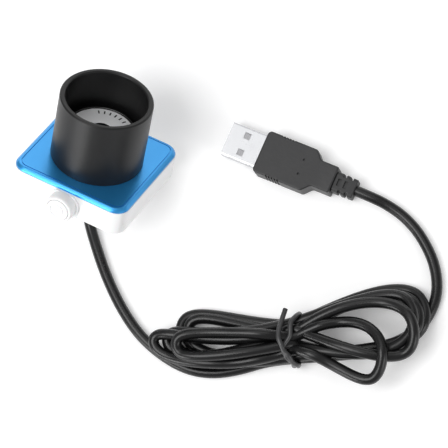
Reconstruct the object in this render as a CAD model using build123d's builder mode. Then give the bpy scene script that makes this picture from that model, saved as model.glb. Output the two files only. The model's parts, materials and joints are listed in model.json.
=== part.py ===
"""A 1.25 inch guide camera with its captive lead, lying on a table.

The camera leans back on the far bottom edge of its square housing, as its
lead's exit makes it do, and the lead runs to a tied hank and a USB plug.

Row frame, millimetres: Z up from the table, the nosepiece leaning from the
vertical towards +Y, the snapshot button on the side that faces -Y. The origin
is on the table under the middle of the camera.
"""
import os
from math import cos, pi, radians, sin, tan

from build123d import *

os.makedirs("parts", exist_ok=True)

# ---------------------------------------------------------------- driving sizes
TILT = 41.7                 # lean of the nosepiece from the vertical, degrees

# nosepiece, a 1.25 inch eyepiece barrel
NOSE_R = 31.75 / 2
NOSE_LENGTH = 25.1
NOSE_BORE_R = 14.0
NOSE_STEP = 0.7             # height at which the bore narrows to the spigot's
RIM_CHAMFER = 0.4
SPIGOT_R = 14.45            # threaded end that screws into the front plate
SPIGOT_BORE_R = 13.2
SPIGOT_LENGTH = 2.5

# front plate, anodised aluminium
PLATE_HALF = 21.3
PLATE_TOP_HALF = 19.67
PLATE_CORNER_R = 4.8
PLATE_BEVEL = 0.4
PLATE_EDGE = 1.1            # depth of the edge that shows above the housing
PLATE_DEPTH = 2.6           # depth with the step inside the housing
PLATE_STEP_HALF = 19.8
PLATE_BORE_R = 14.5
GROOVE_WIDTH = 0.25
GROOVE_DEPTH = 0.15
WASHER_R = 15.5
WASHER_DEPTH = 0.4

# rear housing, moulded shell
HOUSING_HALF = 21.5
HOUSING_CORNER_R = 5.0
HOUSING_BACK = 10.7         # depth of the back face below the plate's face
HOUSING_EDGE_R = 0.8
WALL = 1.6
PILLAR_XY = 16.2
PILLAR_R = 3.2
STANDOFF_XY = 12.5
STANDOFF_R = 2.2

# case and board screws
CASE_SCREW_R = 1.2
CASE_HEAD_R = 2.2
CASE_HEAD_DEPTH = 1.8
BOARD_SCREW_R = 0.8
BOARD_HEAD_R = 1.7
BOARD_HEAD_DEPTH = 1.0

# sensor tower inside the nosepiece
TOWER_R = 12.6
TOWER_TOP = 11.0
TOWER_WALL = 1.2
APERTURE_R = 3.9
LEDGE_DEPTH = 2.0           # of the ledge that the window is glued under
TUNNEL_R = 5.0
FLANGE_R = 15.5
DISC_R = 11.1
DISC_THICKNESS = 0.4
RING_IN_R = 11.4
RING_OUT_R = 12.4
RING_THICKNESS = 0.6
WINDOW_R = 4.95
WINDOW_THICKNESS = 0.85

# circuit board, its faces given as depths below the plate's face
BOARD_HALF = 18.5
BOARD_TOP = 4.4
BOARD_BACK = 5.6
SENSOR_SIDE = 9.0
SENSOR_THICKNESS = 1.0
COVER_SIDE = 7.4
COVER_THICKNESS = 0.5

# snapshot button on the side wall
BUTTON_DEPTH = 6.3          # of its axis below the plate's face
PAD_R = 5.8
PAD_PROUD = 0.8
BEZEL_R = 5.1
BEZEL_BORE_R = 4.05
BEZEL_LENGTH = 4.6          # from the side wall to the bezel's rim
CAP_R = 4.0
CAP_LENGTH = 5.0            # from the side wall to the cap's face
CAP_HEAD = 2.3
STEM_R = 1.6
SPRING_POCKET_R = 3.2
SPRING_R = 2.4
SPRING_WIRE_R = 0.22
BUTTON_TRAVEL = 1.0

# lead, its hank, its tie and its plug
CABLE_R = 1.875
RELIEF_LENGTH = 8.0
RELIEF_ROOT_R = 3.6
RELIEF_TIP_R = 2.7
HANK_HEIGHT = 11.6
HANK_ANGLE = 31.0           # of the hank's length to X, degrees
TIE_WIDTH = 2.2
TIE_THICKNESS = 0.7
PLUG_ANGLE = 2.2            # of the plug's length to X, degrees
PLUG_TIP = (34.1, 25.2)
PLUG_AXIS_Z = 4.0
USB_WIDTH = 12.0
USB_HEIGHT = 4.5
USB_WALL = 0.3
USB_LENGTH = 12.8
OVERMOLD_LENGTH = 27.5
OVERMOLD_WIDTH = 15.3
OVERMOLD_HEIGHT = 8.0
SHOULDER_START = 18.3       # along the overmould, where it narrows
SHOULDER_END = 20.9
NECK_WIDTH = 9.6
PLUG_RELIEF_LENGTH = 7.7
PLUG_WINDOWS = [(6.3, -3.05), (6.3, 3.05)]
WINDOW_SIDE = 2.3
EJECTOR_MARKS = [(29.1, -2.55), (29.1, 2.55)]
EJECTOR_R = 0.45

# ---------------------------------------------------------------- placing
LEAN = radians(TILT)
CAMERA_Z = (
    (HOUSING_HALF - HOUSING_EDGE_R) * sin(LEAN)
    + (HOUSING_BACK - HOUSING_EDGE_R) * cos(LEAN)
    + HOUSING_EDGE_R
)
RIM_REACH = NOSE_R * cos(LEAN) + NOSE_LENGTH * sin(LEAN)
BEZEL_REACH = (HOUSING_HALF + BEZEL_LENGTH) * cos(LEAN) + (BUTTON_DEPTH + BEZEL_R) * sin(LEAN)
CAMERA_Y = (BEZEL_REACH - RIM_REACH) / 2
CAMERA = Plane(origin=(0, CAMERA_Y, CAMERA_Z), x_dir=(1, 0, 0), z_dir=(0, sin(LEAN), cos(LEAN)))
CAMERA_AXIS = Axis(CAMERA.origin, CAMERA.z_dir)
BUTTON = Plane(
    origin=CAMERA.from_local_coords((0, -HOUSING_HALF, -BUTTON_DEPTH)),
    x_dir=(1, 0, 0),
    z_dir=-CAMERA.y_dir,
)
PLUG = Plane(
    origin=(*PLUG_TIP, PLUG_AXIS_Z),
    x_dir=(cos(radians(PLUG_ANGLE)), sin(radians(PLUG_ANGLE)), 0),
    z_dir=(0, 0, 1),
)


def level(height):
    """The plane square to the camera's axis at a height above the plate's face."""
    return CAMERA.offset(height)


def button_level(height):
    """The plane square to the button's axis at a height out from the side wall."""
    return BUTTON.offset(height)


def axial_plane():
    """The plane through the camera's axis, its x outwards and its y along the axis."""
    return Plane(origin=CAMERA.origin, x_dir=CAMERA.x_dir, z_dir=-CAMERA.y_dir)


def plug_section(distance):
    """The plane across the plug at a distance from its tip, its x along the width."""
    return Plane(
        origin=PLUG.from_local_coords((distance, 0, 0)), x_dir=PLUG.y_dir, z_dir=PLUG.x_dir
    )


def save(part, label):
    """Name a finished piece and write it as its own STEP file."""
    part.label = label
    export_step(part, f"parts/{label}.step")


def corner_points(reach):
    """The four corners of a square of half side reach."""
    return [(x, y) for x in (-reach, reach) for y in (-reach, reach)]


def annulus(label, inner, outer, bottom, top):
    """A flat ring about the camera's axis."""
    with BuildPart() as ring:
        with BuildSketch(level(bottom)):
            Circle(outer)
            Circle(inner, mode=Mode.SUBTRACT)
        extrude(amount=top - bottom)
    save(ring.part, label)


def block_group(label, blocks):
    """Separate blocks: each is a centre (x, y), a size (x, y), a bottom and a top."""
    with BuildPart() as group:
        for centre, size, bottom, top in blocks:
            with BuildSketch(level(bottom)):
                with Locations(centre):
                    Rectangle(*size)
            extrude(amount=top - bottom)
    save(group.part, label)


def screws(label, points, head, shank, bearing, tip):
    """Pan-head screws along the camera's axis: head and shank are (radius, depth or reach).

    The head's bearing face is at the height bearing and the shank ends at tip; the
    head stands on the side away from the tip. Each has a cross recess.
    """
    head_r, head_depth = head
    away = 1 if bearing > tip else -1
    with BuildPart() as group:
        with BuildSketch(level(min(bearing, tip))):
            with Locations(*points):
                Circle(shank)
        extrude(amount=abs(bearing - tip))
        with BuildSketch(level(bearing)):
            with Locations(*points):
                Circle(head_r)
        extrude(amount=away * head_depth)
        with BuildSketch(level(bearing + away * head_depth)):
            with Locations(*points):
                Rectangle(head_r * 1.3, head_r * 0.3)
                Rectangle(head_r * 0.3, head_r * 1.3)
        extrude(amount=-away * head_depth * 0.5, mode=Mode.SUBTRACT)
    save(group.part, label)


# ---------------------------------------------------------------- nosepiece
with BuildPart() as nosepiece_tube:
    with BuildSketch(axial_plane()):
        with BuildLine():
            Polyline(
                (SPIGOT_BORE_R, -SPIGOT_LENGTH),
                (SPIGOT_R, -SPIGOT_LENGTH),
                (SPIGOT_R, 0),
                (NOSE_R, 0),
                (NOSE_R, NOSE_LENGTH - RIM_CHAMFER),
                (NOSE_R - RIM_CHAMFER, NOSE_LENGTH),
                (NOSE_BORE_R + RIM_CHAMFER, NOSE_LENGTH),
                (NOSE_BORE_R, NOSE_LENGTH - RIM_CHAMFER),
                (NOSE_BORE_R, NOSE_STEP + 0.8),
                (SPIGOT_BORE_R, NOSE_STEP),
                close=True,
            )
        make_face()
    revolve(axis=CAMERA_AXIS)
save(nosepiece_tube.part, "nosepiece_tube")

annulus("nose_washer", SPIGOT_R + 0.15, WASHER_R - 0.05, -WASHER_DEPTH, 0)

# ---------------------------------------------------------------- front plate
with BuildPart() as front_plate:
    with BuildSketch(level(-PLATE_EDGE)):
        RectangleRounded(2 * PLATE_HALF, 2 * PLATE_HALF, PLATE_CORNER_R)
    extrude(amount=PLATE_EDGE - PLATE_BEVEL)
    with BuildSketch(level(-PLATE_BEVEL)):
        RectangleRounded(2 * PLATE_HALF, 2 * PLATE_HALF, PLATE_CORNER_R)
    with BuildSketch(level(0)):
        RectangleRounded(
            2 * PLATE_TOP_HALF, 2 * PLATE_TOP_HALF, PLATE_CORNER_R - PLATE_HALF + PLATE_TOP_HALF
        )
    loft()
    with BuildSketch(level(-PLATE_DEPTH)):
        RectangleRounded(2 * PLATE_STEP_HALF, 2 * PLATE_STEP_HALF, HOUSING_CORNER_R - WALL)
    extrude(amount=PLATE_DEPTH - PLATE_EDGE)
    with BuildSketch(level(-PLATE_DEPTH)):
        Circle(PLATE_BORE_R)
    extrude(amount=PLATE_DEPTH, mode=Mode.SUBTRACT)
    with BuildSketch(level(0)):
        Circle(WASHER_R)
        outline = RectangleRounded(
            2 * PLATE_TOP_HALF - 0.1, 2 * PLATE_TOP_HALF - 0.1, 3.1, mode=Mode.PRIVATE
        )
        add(outline)
        offset(outline, amount=-GROOVE_WIDTH, mode=Mode.SUBTRACT)
    extrude(amount=-GROOVE_DEPTH, mode=Mode.SUBTRACT)
    with BuildSketch(level(0)):
        Circle(WASHER_R)
    extrude(amount=-WASHER_DEPTH, mode=Mode.SUBTRACT)
    with BuildSketch(level(-PLATE_DEPTH)):
        with Locations(*corner_points(PILLAR_XY)):
            Circle(CASE_SCREW_R)
    extrude(amount=PLATE_DEPTH - 0.7, mode=Mode.SUBTRACT)
save(front_plate.part, "front_plate")

# ---------------------------------------------------------------- rear housing
with BuildPart() as rear_housing:
    with BuildSketch(level(-HOUSING_BACK)):
        RectangleRounded(2 * HOUSING_HALF, 2 * HOUSING_HALF, HOUSING_CORNER_R)
    extrude(amount=HOUSING_BACK - PLATE_EDGE)
    fillet(rear_housing.edges().group_by(CAMERA_AXIS)[0], HOUSING_EDGE_R)
    with BuildSketch(button_level(PAD_PROUD)):
        Circle(PAD_R)
    extrude(amount=-PAD_PROUD - 2 * WALL)
    with BuildSketch(level(-HOUSING_BACK + WALL)):
        RectangleRounded(
            2 * (HOUSING_HALF - WALL), 2 * (HOUSING_HALF - WALL), HOUSING_CORNER_R - WALL
        )
    extrude(amount=HOUSING_BACK, mode=Mode.SUBTRACT)
    with BuildSketch(level(-HOUSING_BACK + WALL)):
        with Locations(*corner_points(PILLAR_XY)):
            Circle(PILLAR_R)
    extrude(amount=HOUSING_BACK - WALL - PLATE_DEPTH)
    with BuildSketch(level(-HOUSING_BACK + WALL)):
        with Locations(*corner_points(STANDOFF_XY)):
            Circle(STANDOFF_R)
    extrude(amount=HOUSING_BACK - WALL - BOARD_BACK)
    with BuildSketch(level(-PLATE_EDGE)):
        Rectangle(3 * HOUSING_HALF, 3 * HOUSING_HALF)
    extrude(amount=HOUSING_BACK, mode=Mode.SUBTRACT)
    with BuildSketch(level(-HOUSING_BACK)):
        with Locations(*corner_points(PILLAR_XY)):
            Circle(CASE_SCREW_R)
        Circle(RELIEF_ROOT_R - 0.5)
    extrude(amount=HOUSING_BACK, mode=Mode.SUBTRACT)
    with BuildSketch(level(-HOUSING_BACK)):
        with Locations(*corner_points(PILLAR_XY)):
            Circle(CASE_HEAD_R + 0.2)
    extrude(amount=CASE_HEAD_DEPTH + 0.2, mode=Mode.SUBTRACT)
    with BuildSketch(level(-BOARD_BACK)):
        with Locations(*corner_points(STANDOFF_XY)):
            Circle(BOARD_SCREW_R)
    extrude(amount=-2.6, mode=Mode.SUBTRACT)
    with BuildSketch(button_level(PAD_PROUD)):
        Circle(SPRING_POCKET_R)
    extrude(amount=-PAD_PROUD - WALL / 2, mode=Mode.SUBTRACT)
    with BuildSketch(button_level(0)):
        Circle(STEM_R + 0.05)
    extrude(amount=-WALL, mode=Mode.SUBTRACT)
save(rear_housing.part, "rear_housing")

screws(
    "case_screws", corner_points(PILLAR_XY), (CASE_HEAD_R, CASE_HEAD_DEPTH), CASE_SCREW_R,
    bearing=-HOUSING_BACK + CASE_HEAD_DEPTH + 0.2, tip=-0.9,
)

# ---------------------------------------------------------------- sensor tower
with BuildPart() as sensor_tower:
    with BuildSketch(axial_plane()):
        with BuildLine():
            Polyline(
                (APERTURE_R, TOWER_TOP),
                (APERTURE_R, TOWER_TOP - LEDGE_DEPTH),
                (TUNNEL_R, TOWER_TOP - LEDGE_DEPTH),
                (TUNNEL_R, -PLATE_DEPTH),
                (TUNNEL_R + 1, -PLATE_DEPTH),
                (TUNNEL_R + 1, TOWER_TOP - TOWER_WALL),
                (TOWER_R - TOWER_WALL, TOWER_TOP - TOWER_WALL),
                (TOWER_R - TOWER_WALL, -BOARD_TOP),
                (FLANGE_R, -BOARD_TOP),
                (FLANGE_R, -BOARD_TOP + 1.1),
                (TOWER_R, -BOARD_TOP + 1.1),
                (TOWER_R, TOWER_TOP),
                close=True,
            )
        make_face()
    revolve(axis=CAMERA_AXIS)
    with BuildSketch(level(-BOARD_TOP)):
        with Locations((-14, 0), (14, 0)):
            Circle(BOARD_SCREW_R)
    extrude(amount=1.0, mode=Mode.SUBTRACT)
save(sensor_tower.part, "sensor_tower")

screws(
    "tower_screws", [(-14, 0), (14, 0)], (BOARD_HEAD_R, BOARD_HEAD_DEPTH), BOARD_SCREW_R,
    bearing=-BOARD_BACK, tip=-BOARD_TOP + 0.9,
)
annulus("face_disc", APERTURE_R, DISC_R, TOWER_TOP, TOWER_TOP + DISC_THICKNESS)
annulus("disc_ring", RING_IN_R, RING_OUT_R, TOWER_TOP, TOWER_TOP + RING_THICKNESS)
with BuildPart() as sensor_window:
    with BuildSketch(level(TOWER_TOP - LEDGE_DEPTH)):
        Circle(WINDOW_R)
    extrude(amount=-WINDOW_THICKNESS)
save(sensor_window.part, "sensor_window")

# ---------------------------------------------------------------- circuit board
with BuildPart() as sensor_board:
    with BuildSketch(level(-BOARD_BACK)):
        RectangleRounded(2 * BOARD_HALF, 2 * BOARD_HALF, 1)
        with Locations(*corner_points(PILLAR_XY)):
            Circle(PILLAR_R + 0.3, mode=Mode.SUBTRACT)
        with Locations(*corner_points(BOARD_HALF)):
            Rectangle(5, 5, mode=Mode.SUBTRACT)
        with Locations((0, -BOARD_HALF)):
            Rectangle(6, 2.6, mode=Mode.SUBTRACT)
        with Locations(*corner_points(STANDOFF_XY), (-14, 0), (14, 0)):
            Circle(BOARD_SCREW_R, mode=Mode.SUBTRACT)
    extrude(amount=BOARD_BACK - BOARD_TOP)
save(sensor_board.part, "sensor_board")

screws(
    "board_screws", corner_points(STANDOFF_XY), (BOARD_HEAD_R, BOARD_HEAD_DEPTH), BOARD_SCREW_R,
    bearing=-BOARD_TOP, tip=-BOARD_BACK - 2.4,
)
SENSOR_TOP = -BOARD_TOP + SENSOR_THICKNESS
block_group("image_sensor", [((0, 0), (SENSOR_SIDE, SENSOR_SIDE), -BOARD_TOP, SENSOR_TOP)])
block_group(
    "sensor_cover", [((0, 0), (COVER_SIDE, COVER_SIDE), SENSOR_TOP, SENSOR_TOP + COVER_THICKNESS)]
)
block_group("usb_controller", [((-8, 4.5), (8, 8), -BOARD_BACK - 0.9, -BOARD_BACK)])
block_group("memory_chip", [((7.5, -6), (6, 8), -BOARD_BACK - 0.9, -BOARD_BACK)])
block_group("crystal", [((-8, -4), (5, 3.2), -BOARD_BACK - 1.1, -BOARD_BACK)])
block_group(
    "capacitors",
    [((x, y), (1.6, 0.8), -BOARD_BACK - 0.8, -BOARD_BACK) for x in (-16, 16) for y in (-6, -3, 3, 6)],
)
block_group("wire_header", [((0.5, 10.5), (8.6, 3.6), -BOARD_BACK - 2.9, -BOARD_BACK)])

# ---------------------------------------------------------------- snapshot button
with BuildPart() as button_bezel:
    with BuildSketch(button_level(PAD_PROUD)):
        Circle(BEZEL_R)
        Circle(SPRING_POCKET_R, mode=Mode.SUBTRACT)
    extrude(amount=BEZEL_LENGTH - PAD_PROUD)
    with BuildSketch(button_level(PAD_PROUD + 0.8)):
        Circle(BEZEL_BORE_R)
    extrude(amount=BEZEL_LENGTH, mode=Mode.SUBTRACT)
    fillet(button_bezel.faces().sort_by(Axis(BUTTON.origin, BUTTON.z_dir))[-1].edges(), 0.3)
save(button_bezel.part, "button_bezel")

STEM_END = 18.95 - HOUSING_HALF
with BuildPart() as button_cap:
    with BuildSketch(button_level(CAP_LENGTH - CAP_HEAD)):
        Circle(CAP_R)
    extrude(amount=CAP_HEAD)
    fillet(button_cap.faces().sort_by(Axis(BUTTON.origin, BUTTON.z_dir))[-1].edges(), 0.5)
    with BuildSketch(button_level(CAP_LENGTH)):
        Circle(2.7)
        Circle(2.1, mode=Mode.SUBTRACT)
        Circle(0.45)
    extrude(amount=-0.3, mode=Mode.SUBTRACT)
    with BuildSketch(button_level(STEM_END)):
        Circle(STEM_R)
    extrude(amount=CAP_LENGTH - CAP_HEAD - STEM_END)
    with BuildSketch(button_level(-WALL - 0.55)):
        Circle(STEM_R + 0.1)
        Circle(STEM_R - 0.3, mode=Mode.SUBTRACT)
    extrude(amount=0.4, mode=Mode.SUBTRACT)
save(button_cap.part, "button_cap")

with BuildPart() as stem_clip:
    with BuildSketch(button_level(-WALL - 0.5)):
        Circle(2.4)
        Circle(STEM_R - 0.3, mode=Mode.SUBTRACT)
        with Locations((0, 2)):
            Rectangle(1.2, 3, mode=Mode.SUBTRACT)
    extrude(amount=0.35)
save(stem_clip.part, "stem_clip")

SPRING_SEAT = -WALL / 2
SPRING_REACH = CAP_LENGTH - CAP_HEAD - SPRING_SEAT - 2 * SPRING_WIRE_R
with BuildPart() as button_spring:
    with BuildLine():
        coil = Helix(
            pitch=0.85, height=SPRING_REACH - 0.02, radius=SPRING_R,
            center=button_level(SPRING_SEAT + SPRING_WIRE_R + 0.01).origin, direction=BUTTON.z_dir,
        )
    with BuildSketch(Plane(origin=coil @ 0, z_dir=coil % 0)):
        Circle(SPRING_WIRE_R)
    sweep()
save(button_spring.part, "button_spring")

with BuildPart() as tact_switch:
    with BuildSketch(level(-BOARD_BACK - 3.3)):
        with Locations((0, -15.3)):
            Rectangle(6, 3.4)
    extrude(amount=3.3)
    with BuildSketch(button_level(-HOUSING_HALF + 17)):
        Circle(0.65)
    extrude(amount=0.85)
save(tact_switch.part, "tact_switch")

# ---------------------------------------------------------------- lead exit
with BuildPart() as strain_relief:
    with BuildSketch(axial_plane()):
        with BuildLine():
            Polyline(
                (0, -HOUSING_BACK + WALL + 1.1),
                (RELIEF_ROOT_R + 0.6, -HOUSING_BACK + WALL + 1.1),
                (RELIEF_ROOT_R + 0.6, -HOUSING_BACK + WALL),
                (RELIEF_ROOT_R - 0.5, -HOUSING_BACK + WALL),
                (RELIEF_ROOT_R - 0.5, -HOUSING_BACK),
                (RELIEF_ROOT_R, -HOUSING_BACK),
                (RELIEF_ROOT_R, -HOUSING_BACK - 1.2),
                (RELIEF_TIP_R, -HOUSING_BACK - RELIEF_LENGTH),
                (0, -HOUSING_BACK - RELIEF_LENGTH),
                close=True,
            )
        make_face()
    revolve(axis=CAMERA_AXIS)
    for step in range(3):
        groove = -HOUSING_BACK - 2.4 - 1.7 * step
        with BuildSketch(level(groove)):
            Circle(RELIEF_ROOT_R + 1)
            Circle(2.3, mode=Mode.SUBTRACT)
        extrude(amount=-0.6, mode=Mode.SUBTRACT)
save(strain_relief.part, "strain_relief")

with BuildPart() as lead_wires:
    for lane in (-1.95, -0.65, 0.65, 1.95):
        foot = CAMERA.from_local_coords((lane, 1, -HOUSING_BACK + WALL + 1.1))
        knee = CAMERA.from_local_coords((lane, 1, -BOARD_BACK - 1.2))
        end = CAMERA.from_local_coords((lane, 8.7, -BOARD_BACK - 1.2))
        with BuildLine():
            wire = FilletPolyline(foot, knee, end, radius=0.8)
        with BuildSketch(Plane(origin=wire @ 0, z_dir=wire % 0)):
            Circle(0.4)
        sweep(path=wire)
save(lead_wires.part, "lead_wires")

# ---------------------------------------------------------------- lead
def turn_radii(points):
    """The bend radius at each inner point of a route, as large as its runs allow."""
    radii = []
    for before, corner, after in zip(points, points[1:], points[2:]):
        run_in = Vector(*corner) - Vector(*before)
        run_out = Vector(*after) - Vector(*corner)
        half_turn = radians(run_in.get_angle(run_out)) / 2
        radii.append(0.45 * min(run_in.length, run_out.length) / tan(half_turn))
    return radii


def cable(label, points):
    """A round cable along straight runs joined by tangent arcs."""
    radii = turn_radii(points)
    with BuildPart() as tube:
        with BuildLine():
            route = FilletPolyline(*points, radius=radii)
        with BuildSketch(Plane(origin=route @ 0, z_dir=route % 0)):
            Circle(CABLE_R)
        sweep(path=route)
    print(label, "radii", [round(radius, 1) for radius in radii])
    print(label, "volume", round(tube.part.volume), "of", round(pi * CABLE_R**2 * route.length))
    save(tube.part, label)


EXIT = CAMERA.from_local_coords((0, 0, -HOUSING_BACK - RELIEF_LENGTH))
EXIT_KNEE = CAMERA.from_local_coords((0, 0, -HOUSING_BACK - RELIEF_LENGTH - 5.2))
LEAD_ROUTE = [
    (EXIT.X, EXIT.Y, EXIT.Z),
    (EXIT_KNEE.X, EXIT_KNEE.Y, EXIT_KNEE.Z),
    (2.2, -20.7, 1.95),
    (8.0, -27.0, 1.9),
    (16.0, -34.9, 1.9),
    (25.8, -42.7, 1.9),
    (36.2, -48.7, 1.9),
    (47.0, -51.6, 1.9),
]
PLUG_LENGTH = USB_LENGTH + OVERMOLD_LENGTH + PLUG_RELIEF_LENGTH
PLUG_END = PLUG.from_local_coords((PLUG_LENGTH, 0, 0))
PLUG_KNEE = PLUG.from_local_coords((PLUG_LENGTH + 5.5, 0, 0))
TAIL_ROUTE = [
    (PLUG_END.X, PLUG_END.Y, PLUG_END.Z),
    (PLUG_KNEE.X, PLUG_KNEE.Y, PLUG_KNEE.Z),
    (93.6, 27.3, 2.6),
    (101.0, 26.0, 1.9),
    (109.0, 22.3, 1.9),
    (117.6, 15.2, 1.9),
    (122.8, 5.8, 1.9),
    (122.6, -4.6, 1.9),
]
cable("cable_lead", LEAD_ROUTE)
cable("cable_tail", TAIL_ROUTE)

# the hank: two lobes of turns either side of the tie
WAIST = (85.4, -28.0)
WAIST_R = 8.2
LEFT_LOBE = [((51.5, -37.6), 5.2), ((43.4, -47.9), 3.9), ((54.5, -49.2), 4.1), (WAIST, WAIST_R)]
RIGHT_LOBE = [((113.2, -5.0), 11.4), ((109.3, -24.0), 8.6), (WAIST, WAIST_R)]
TIE = Plane(
    origin=(*WAIST, 0),
    x_dir=(-sin(radians(HANK_ANGLE)), cos(radians(HANK_ANGLE)), 0),
    z_dir=(cos(radians(HANK_ANGLE)), sin(radians(HANK_ANGLE)), 0),
)
TIE_CENTRE = (0, HANK_HEIGHT / 2)


def lobe_outline(circles):
    """The closed outline that wraps a set of circles."""
    with BuildSketch() as lobe:
        for centre, radius in circles:
            with Locations(centre):
                Circle(radius)
        make_hull()
    return lobe.sketch


with BuildPart() as cable_hank:
    with BuildSketch(Plane.XY):
        add(lobe_outline(LEFT_LOBE))
        add(lobe_outline(RIGHT_LOBE))
    extrude(amount=HANK_HEIGHT)
    fillet(cable_hank.faces().sort_by(Axis.Z)[-1].edges(), 1.8)
    with BuildSketch(TIE):
        with Locations(TIE_CENTRE):
            Rectangle(4 * WAIST_R, 3 * HANK_HEIGHT)
            RectangleRounded(
                2 * (WAIST_R - TIE_THICKNESS), HANK_HEIGHT - 2 * TIE_THICKNESS, 3.5, mode=Mode.SUBTRACT
            )
    extrude(amount=TIE_WIDTH / 2, both=True, mode=Mode.SUBTRACT)
save(cable_hank.part, "cable_hank")

with BuildPart() as twist_tie:
    with BuildSketch(TIE):
        with Locations(TIE_CENTRE):
            RectangleRounded(2 * WAIST_R, HANK_HEIGHT, 4.2)
            RectangleRounded(
                2 * (WAIST_R - TIE_THICKNESS), HANK_HEIGHT - 2 * TIE_THICKNESS, 3.5, mode=Mode.SUBTRACT
            )
    extrude(amount=TIE_WIDTH / 2, both=True)
save(twist_tie.part, "twist_tie")

# ---------------------------------------------------------------- USB plug
with BuildPart() as plug_shell:
    with BuildSketch(plug_section(0)):
        RectangleRounded(USB_WIDTH, USB_HEIGHT, 0.6)
        RectangleRounded(USB_WIDTH - 2 * USB_WALL, USB_HEIGHT - 2 * USB_WALL, 0.3, mode=Mode.SUBTRACT)
    extrude(amount=USB_LENGTH + 3)
    with BuildSketch(PLUG.offset(-USB_HEIGHT)):
        with Locations(*PLUG_WINDOWS):
            Rectangle(WINDOW_SIDE, WINDOW_SIDE)
    extrude(amount=2 * USB_HEIGHT, mode=Mode.SUBTRACT)
save(plug_shell.part, "plug_shell")

with BuildPart() as plug_tongue:
    with BuildSketch(plug_section(0.8)):
        with Locations((0, -1.0)):
            Rectangle(USB_WIDTH - 2 * USB_WALL - 0.6, 1.8)
    extrude(amount=USB_LENGTH + 2)
save(plug_tongue.part, "plug_tongue")

with BuildPart() as plug_contacts:
    for lane in (-3.5, -1.0, 1.0, 3.5):
        with BuildSketch(plug_section(1.6)):
            with Locations((lane, 0.0)):
                Rectangle(1.0, 0.2)
        extrude(amount=9)
save(plug_contacts.part, "plug_contacts")

OVERMOLD_END = USB_LENGTH + OVERMOLD_LENGTH
with BuildPart() as plug_overmold:
    with BuildSketch(PLUG.offset(-OVERMOLD_HEIGHT / 2)):
        with BuildLine():
            Polyline(
                (USB_LENGTH, 0),
                (USB_LENGTH, OVERMOLD_WIDTH / 2),
                (USB_LENGTH + SHOULDER_START, OVERMOLD_WIDTH / 2),
                (USB_LENGTH + SHOULDER_END, NECK_WIDTH / 2),
                (OVERMOLD_END, NECK_WIDTH / 2),
                (OVERMOLD_END, 0),
                close=True,
            )
        make_face()
        mirror(about=Plane.XZ)
    extrude(amount=OVERMOLD_HEIGHT)
    fillet(plug_overmold.edges().filter_by(Axis.Z), 1.2)
    fillet(plug_overmold.faces().sort_by(Axis.Z)[-1].edges(), 0.9)
    fillet(plug_overmold.faces().sort_by(Axis.Z)[0].edges(), 0.9)
    with BuildSketch(PLUG.offset(OVERMOLD_HEIGHT / 2)):
        with Locations(*EJECTOR_MARKS):
            Circle(EJECTOR_R)
    extrude(amount=-1.0, mode=Mode.SUBTRACT)
    with BuildSketch(PLUG.offset(-1.6)):
        for rib in range(4):
            with Locations(
                (USB_LENGTH + 5 + 2.4 * rib, -OVERMOLD_WIDTH / 2),
                (USB_LENGTH + 5 + 2.4 * rib, OVERMOLD_WIDTH / 2),
            ):
                Rectangle(1.0, 0.9)
    extrude(amount=3.2, mode=Mode.SUBTRACT)
    with BuildSketch(plug_section(USB_LENGTH)):
        RectangleRounded(USB_WIDTH, USB_HEIGHT, 0.6)
    extrude(amount=3, mode=Mode.SUBTRACT)
save(plug_overmold.part, "plug_overmold")

with BuildPart() as plug_relief:
    with BuildSketch(plug_section(OVERMOLD_END)):
        RectangleRounded(7.6, 6.8, 2.4)
    with BuildSketch(plug_section(PLUG_LENGTH)):
        RectangleRounded(6.6, 5.8, 2.2)
    loft()
    for step in range(3):
        with BuildSketch(plug_section(OVERMOLD_END + 1.3 + 2.1 * step)):
            Rectangle(9, 9)
            RectangleRounded(5.0, 4.4, 2.0, mode=Mode.SUBTRACT)
        extrude(amount=0.8, mode=Mode.SUBTRACT)
save(plug_relief.part, "plug_relief")
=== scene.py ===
"""A guide camera with its captive lead, dressed for a studio picture.

Each sub-assembly is modelled in its own frame, in millimetres, and placing a
piece turns it into the row's frame, in metres. The camera's frame has its
origin at the middle of the front plate's face and z along the nosepiece.
"""

import json
import logging
from dataclasses import dataclass, field
from enum import Enum
from math import cos, dist, pi, radians, sin, sqrt, tau
from typing import Callable, ClassVar, Optional, Sequence

import bmesh
import bpy
from mathutils import Matrix, Vector

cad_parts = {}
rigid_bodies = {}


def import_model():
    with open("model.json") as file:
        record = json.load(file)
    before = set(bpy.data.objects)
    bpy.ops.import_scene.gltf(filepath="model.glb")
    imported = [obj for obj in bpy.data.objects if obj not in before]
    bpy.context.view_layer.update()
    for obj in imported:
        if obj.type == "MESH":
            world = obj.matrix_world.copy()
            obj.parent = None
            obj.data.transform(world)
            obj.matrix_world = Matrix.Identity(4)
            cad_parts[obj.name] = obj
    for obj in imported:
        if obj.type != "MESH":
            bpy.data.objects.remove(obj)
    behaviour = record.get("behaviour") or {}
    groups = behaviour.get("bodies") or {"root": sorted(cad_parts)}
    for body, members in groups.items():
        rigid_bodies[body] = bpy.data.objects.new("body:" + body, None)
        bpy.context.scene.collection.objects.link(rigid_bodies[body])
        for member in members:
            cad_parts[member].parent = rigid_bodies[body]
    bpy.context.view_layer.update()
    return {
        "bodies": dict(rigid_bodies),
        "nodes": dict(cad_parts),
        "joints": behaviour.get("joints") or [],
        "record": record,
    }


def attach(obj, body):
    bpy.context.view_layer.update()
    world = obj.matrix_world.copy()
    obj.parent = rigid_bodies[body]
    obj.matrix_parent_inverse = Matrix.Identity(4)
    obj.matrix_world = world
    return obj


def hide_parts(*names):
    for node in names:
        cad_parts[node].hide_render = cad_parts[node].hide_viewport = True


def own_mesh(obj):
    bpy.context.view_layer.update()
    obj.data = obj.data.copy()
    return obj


MM = 0.001
log = logging.getLogger("guide_camera")
Point = tuple[float, float, float]
Colour = tuple[float, float, float]


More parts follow.
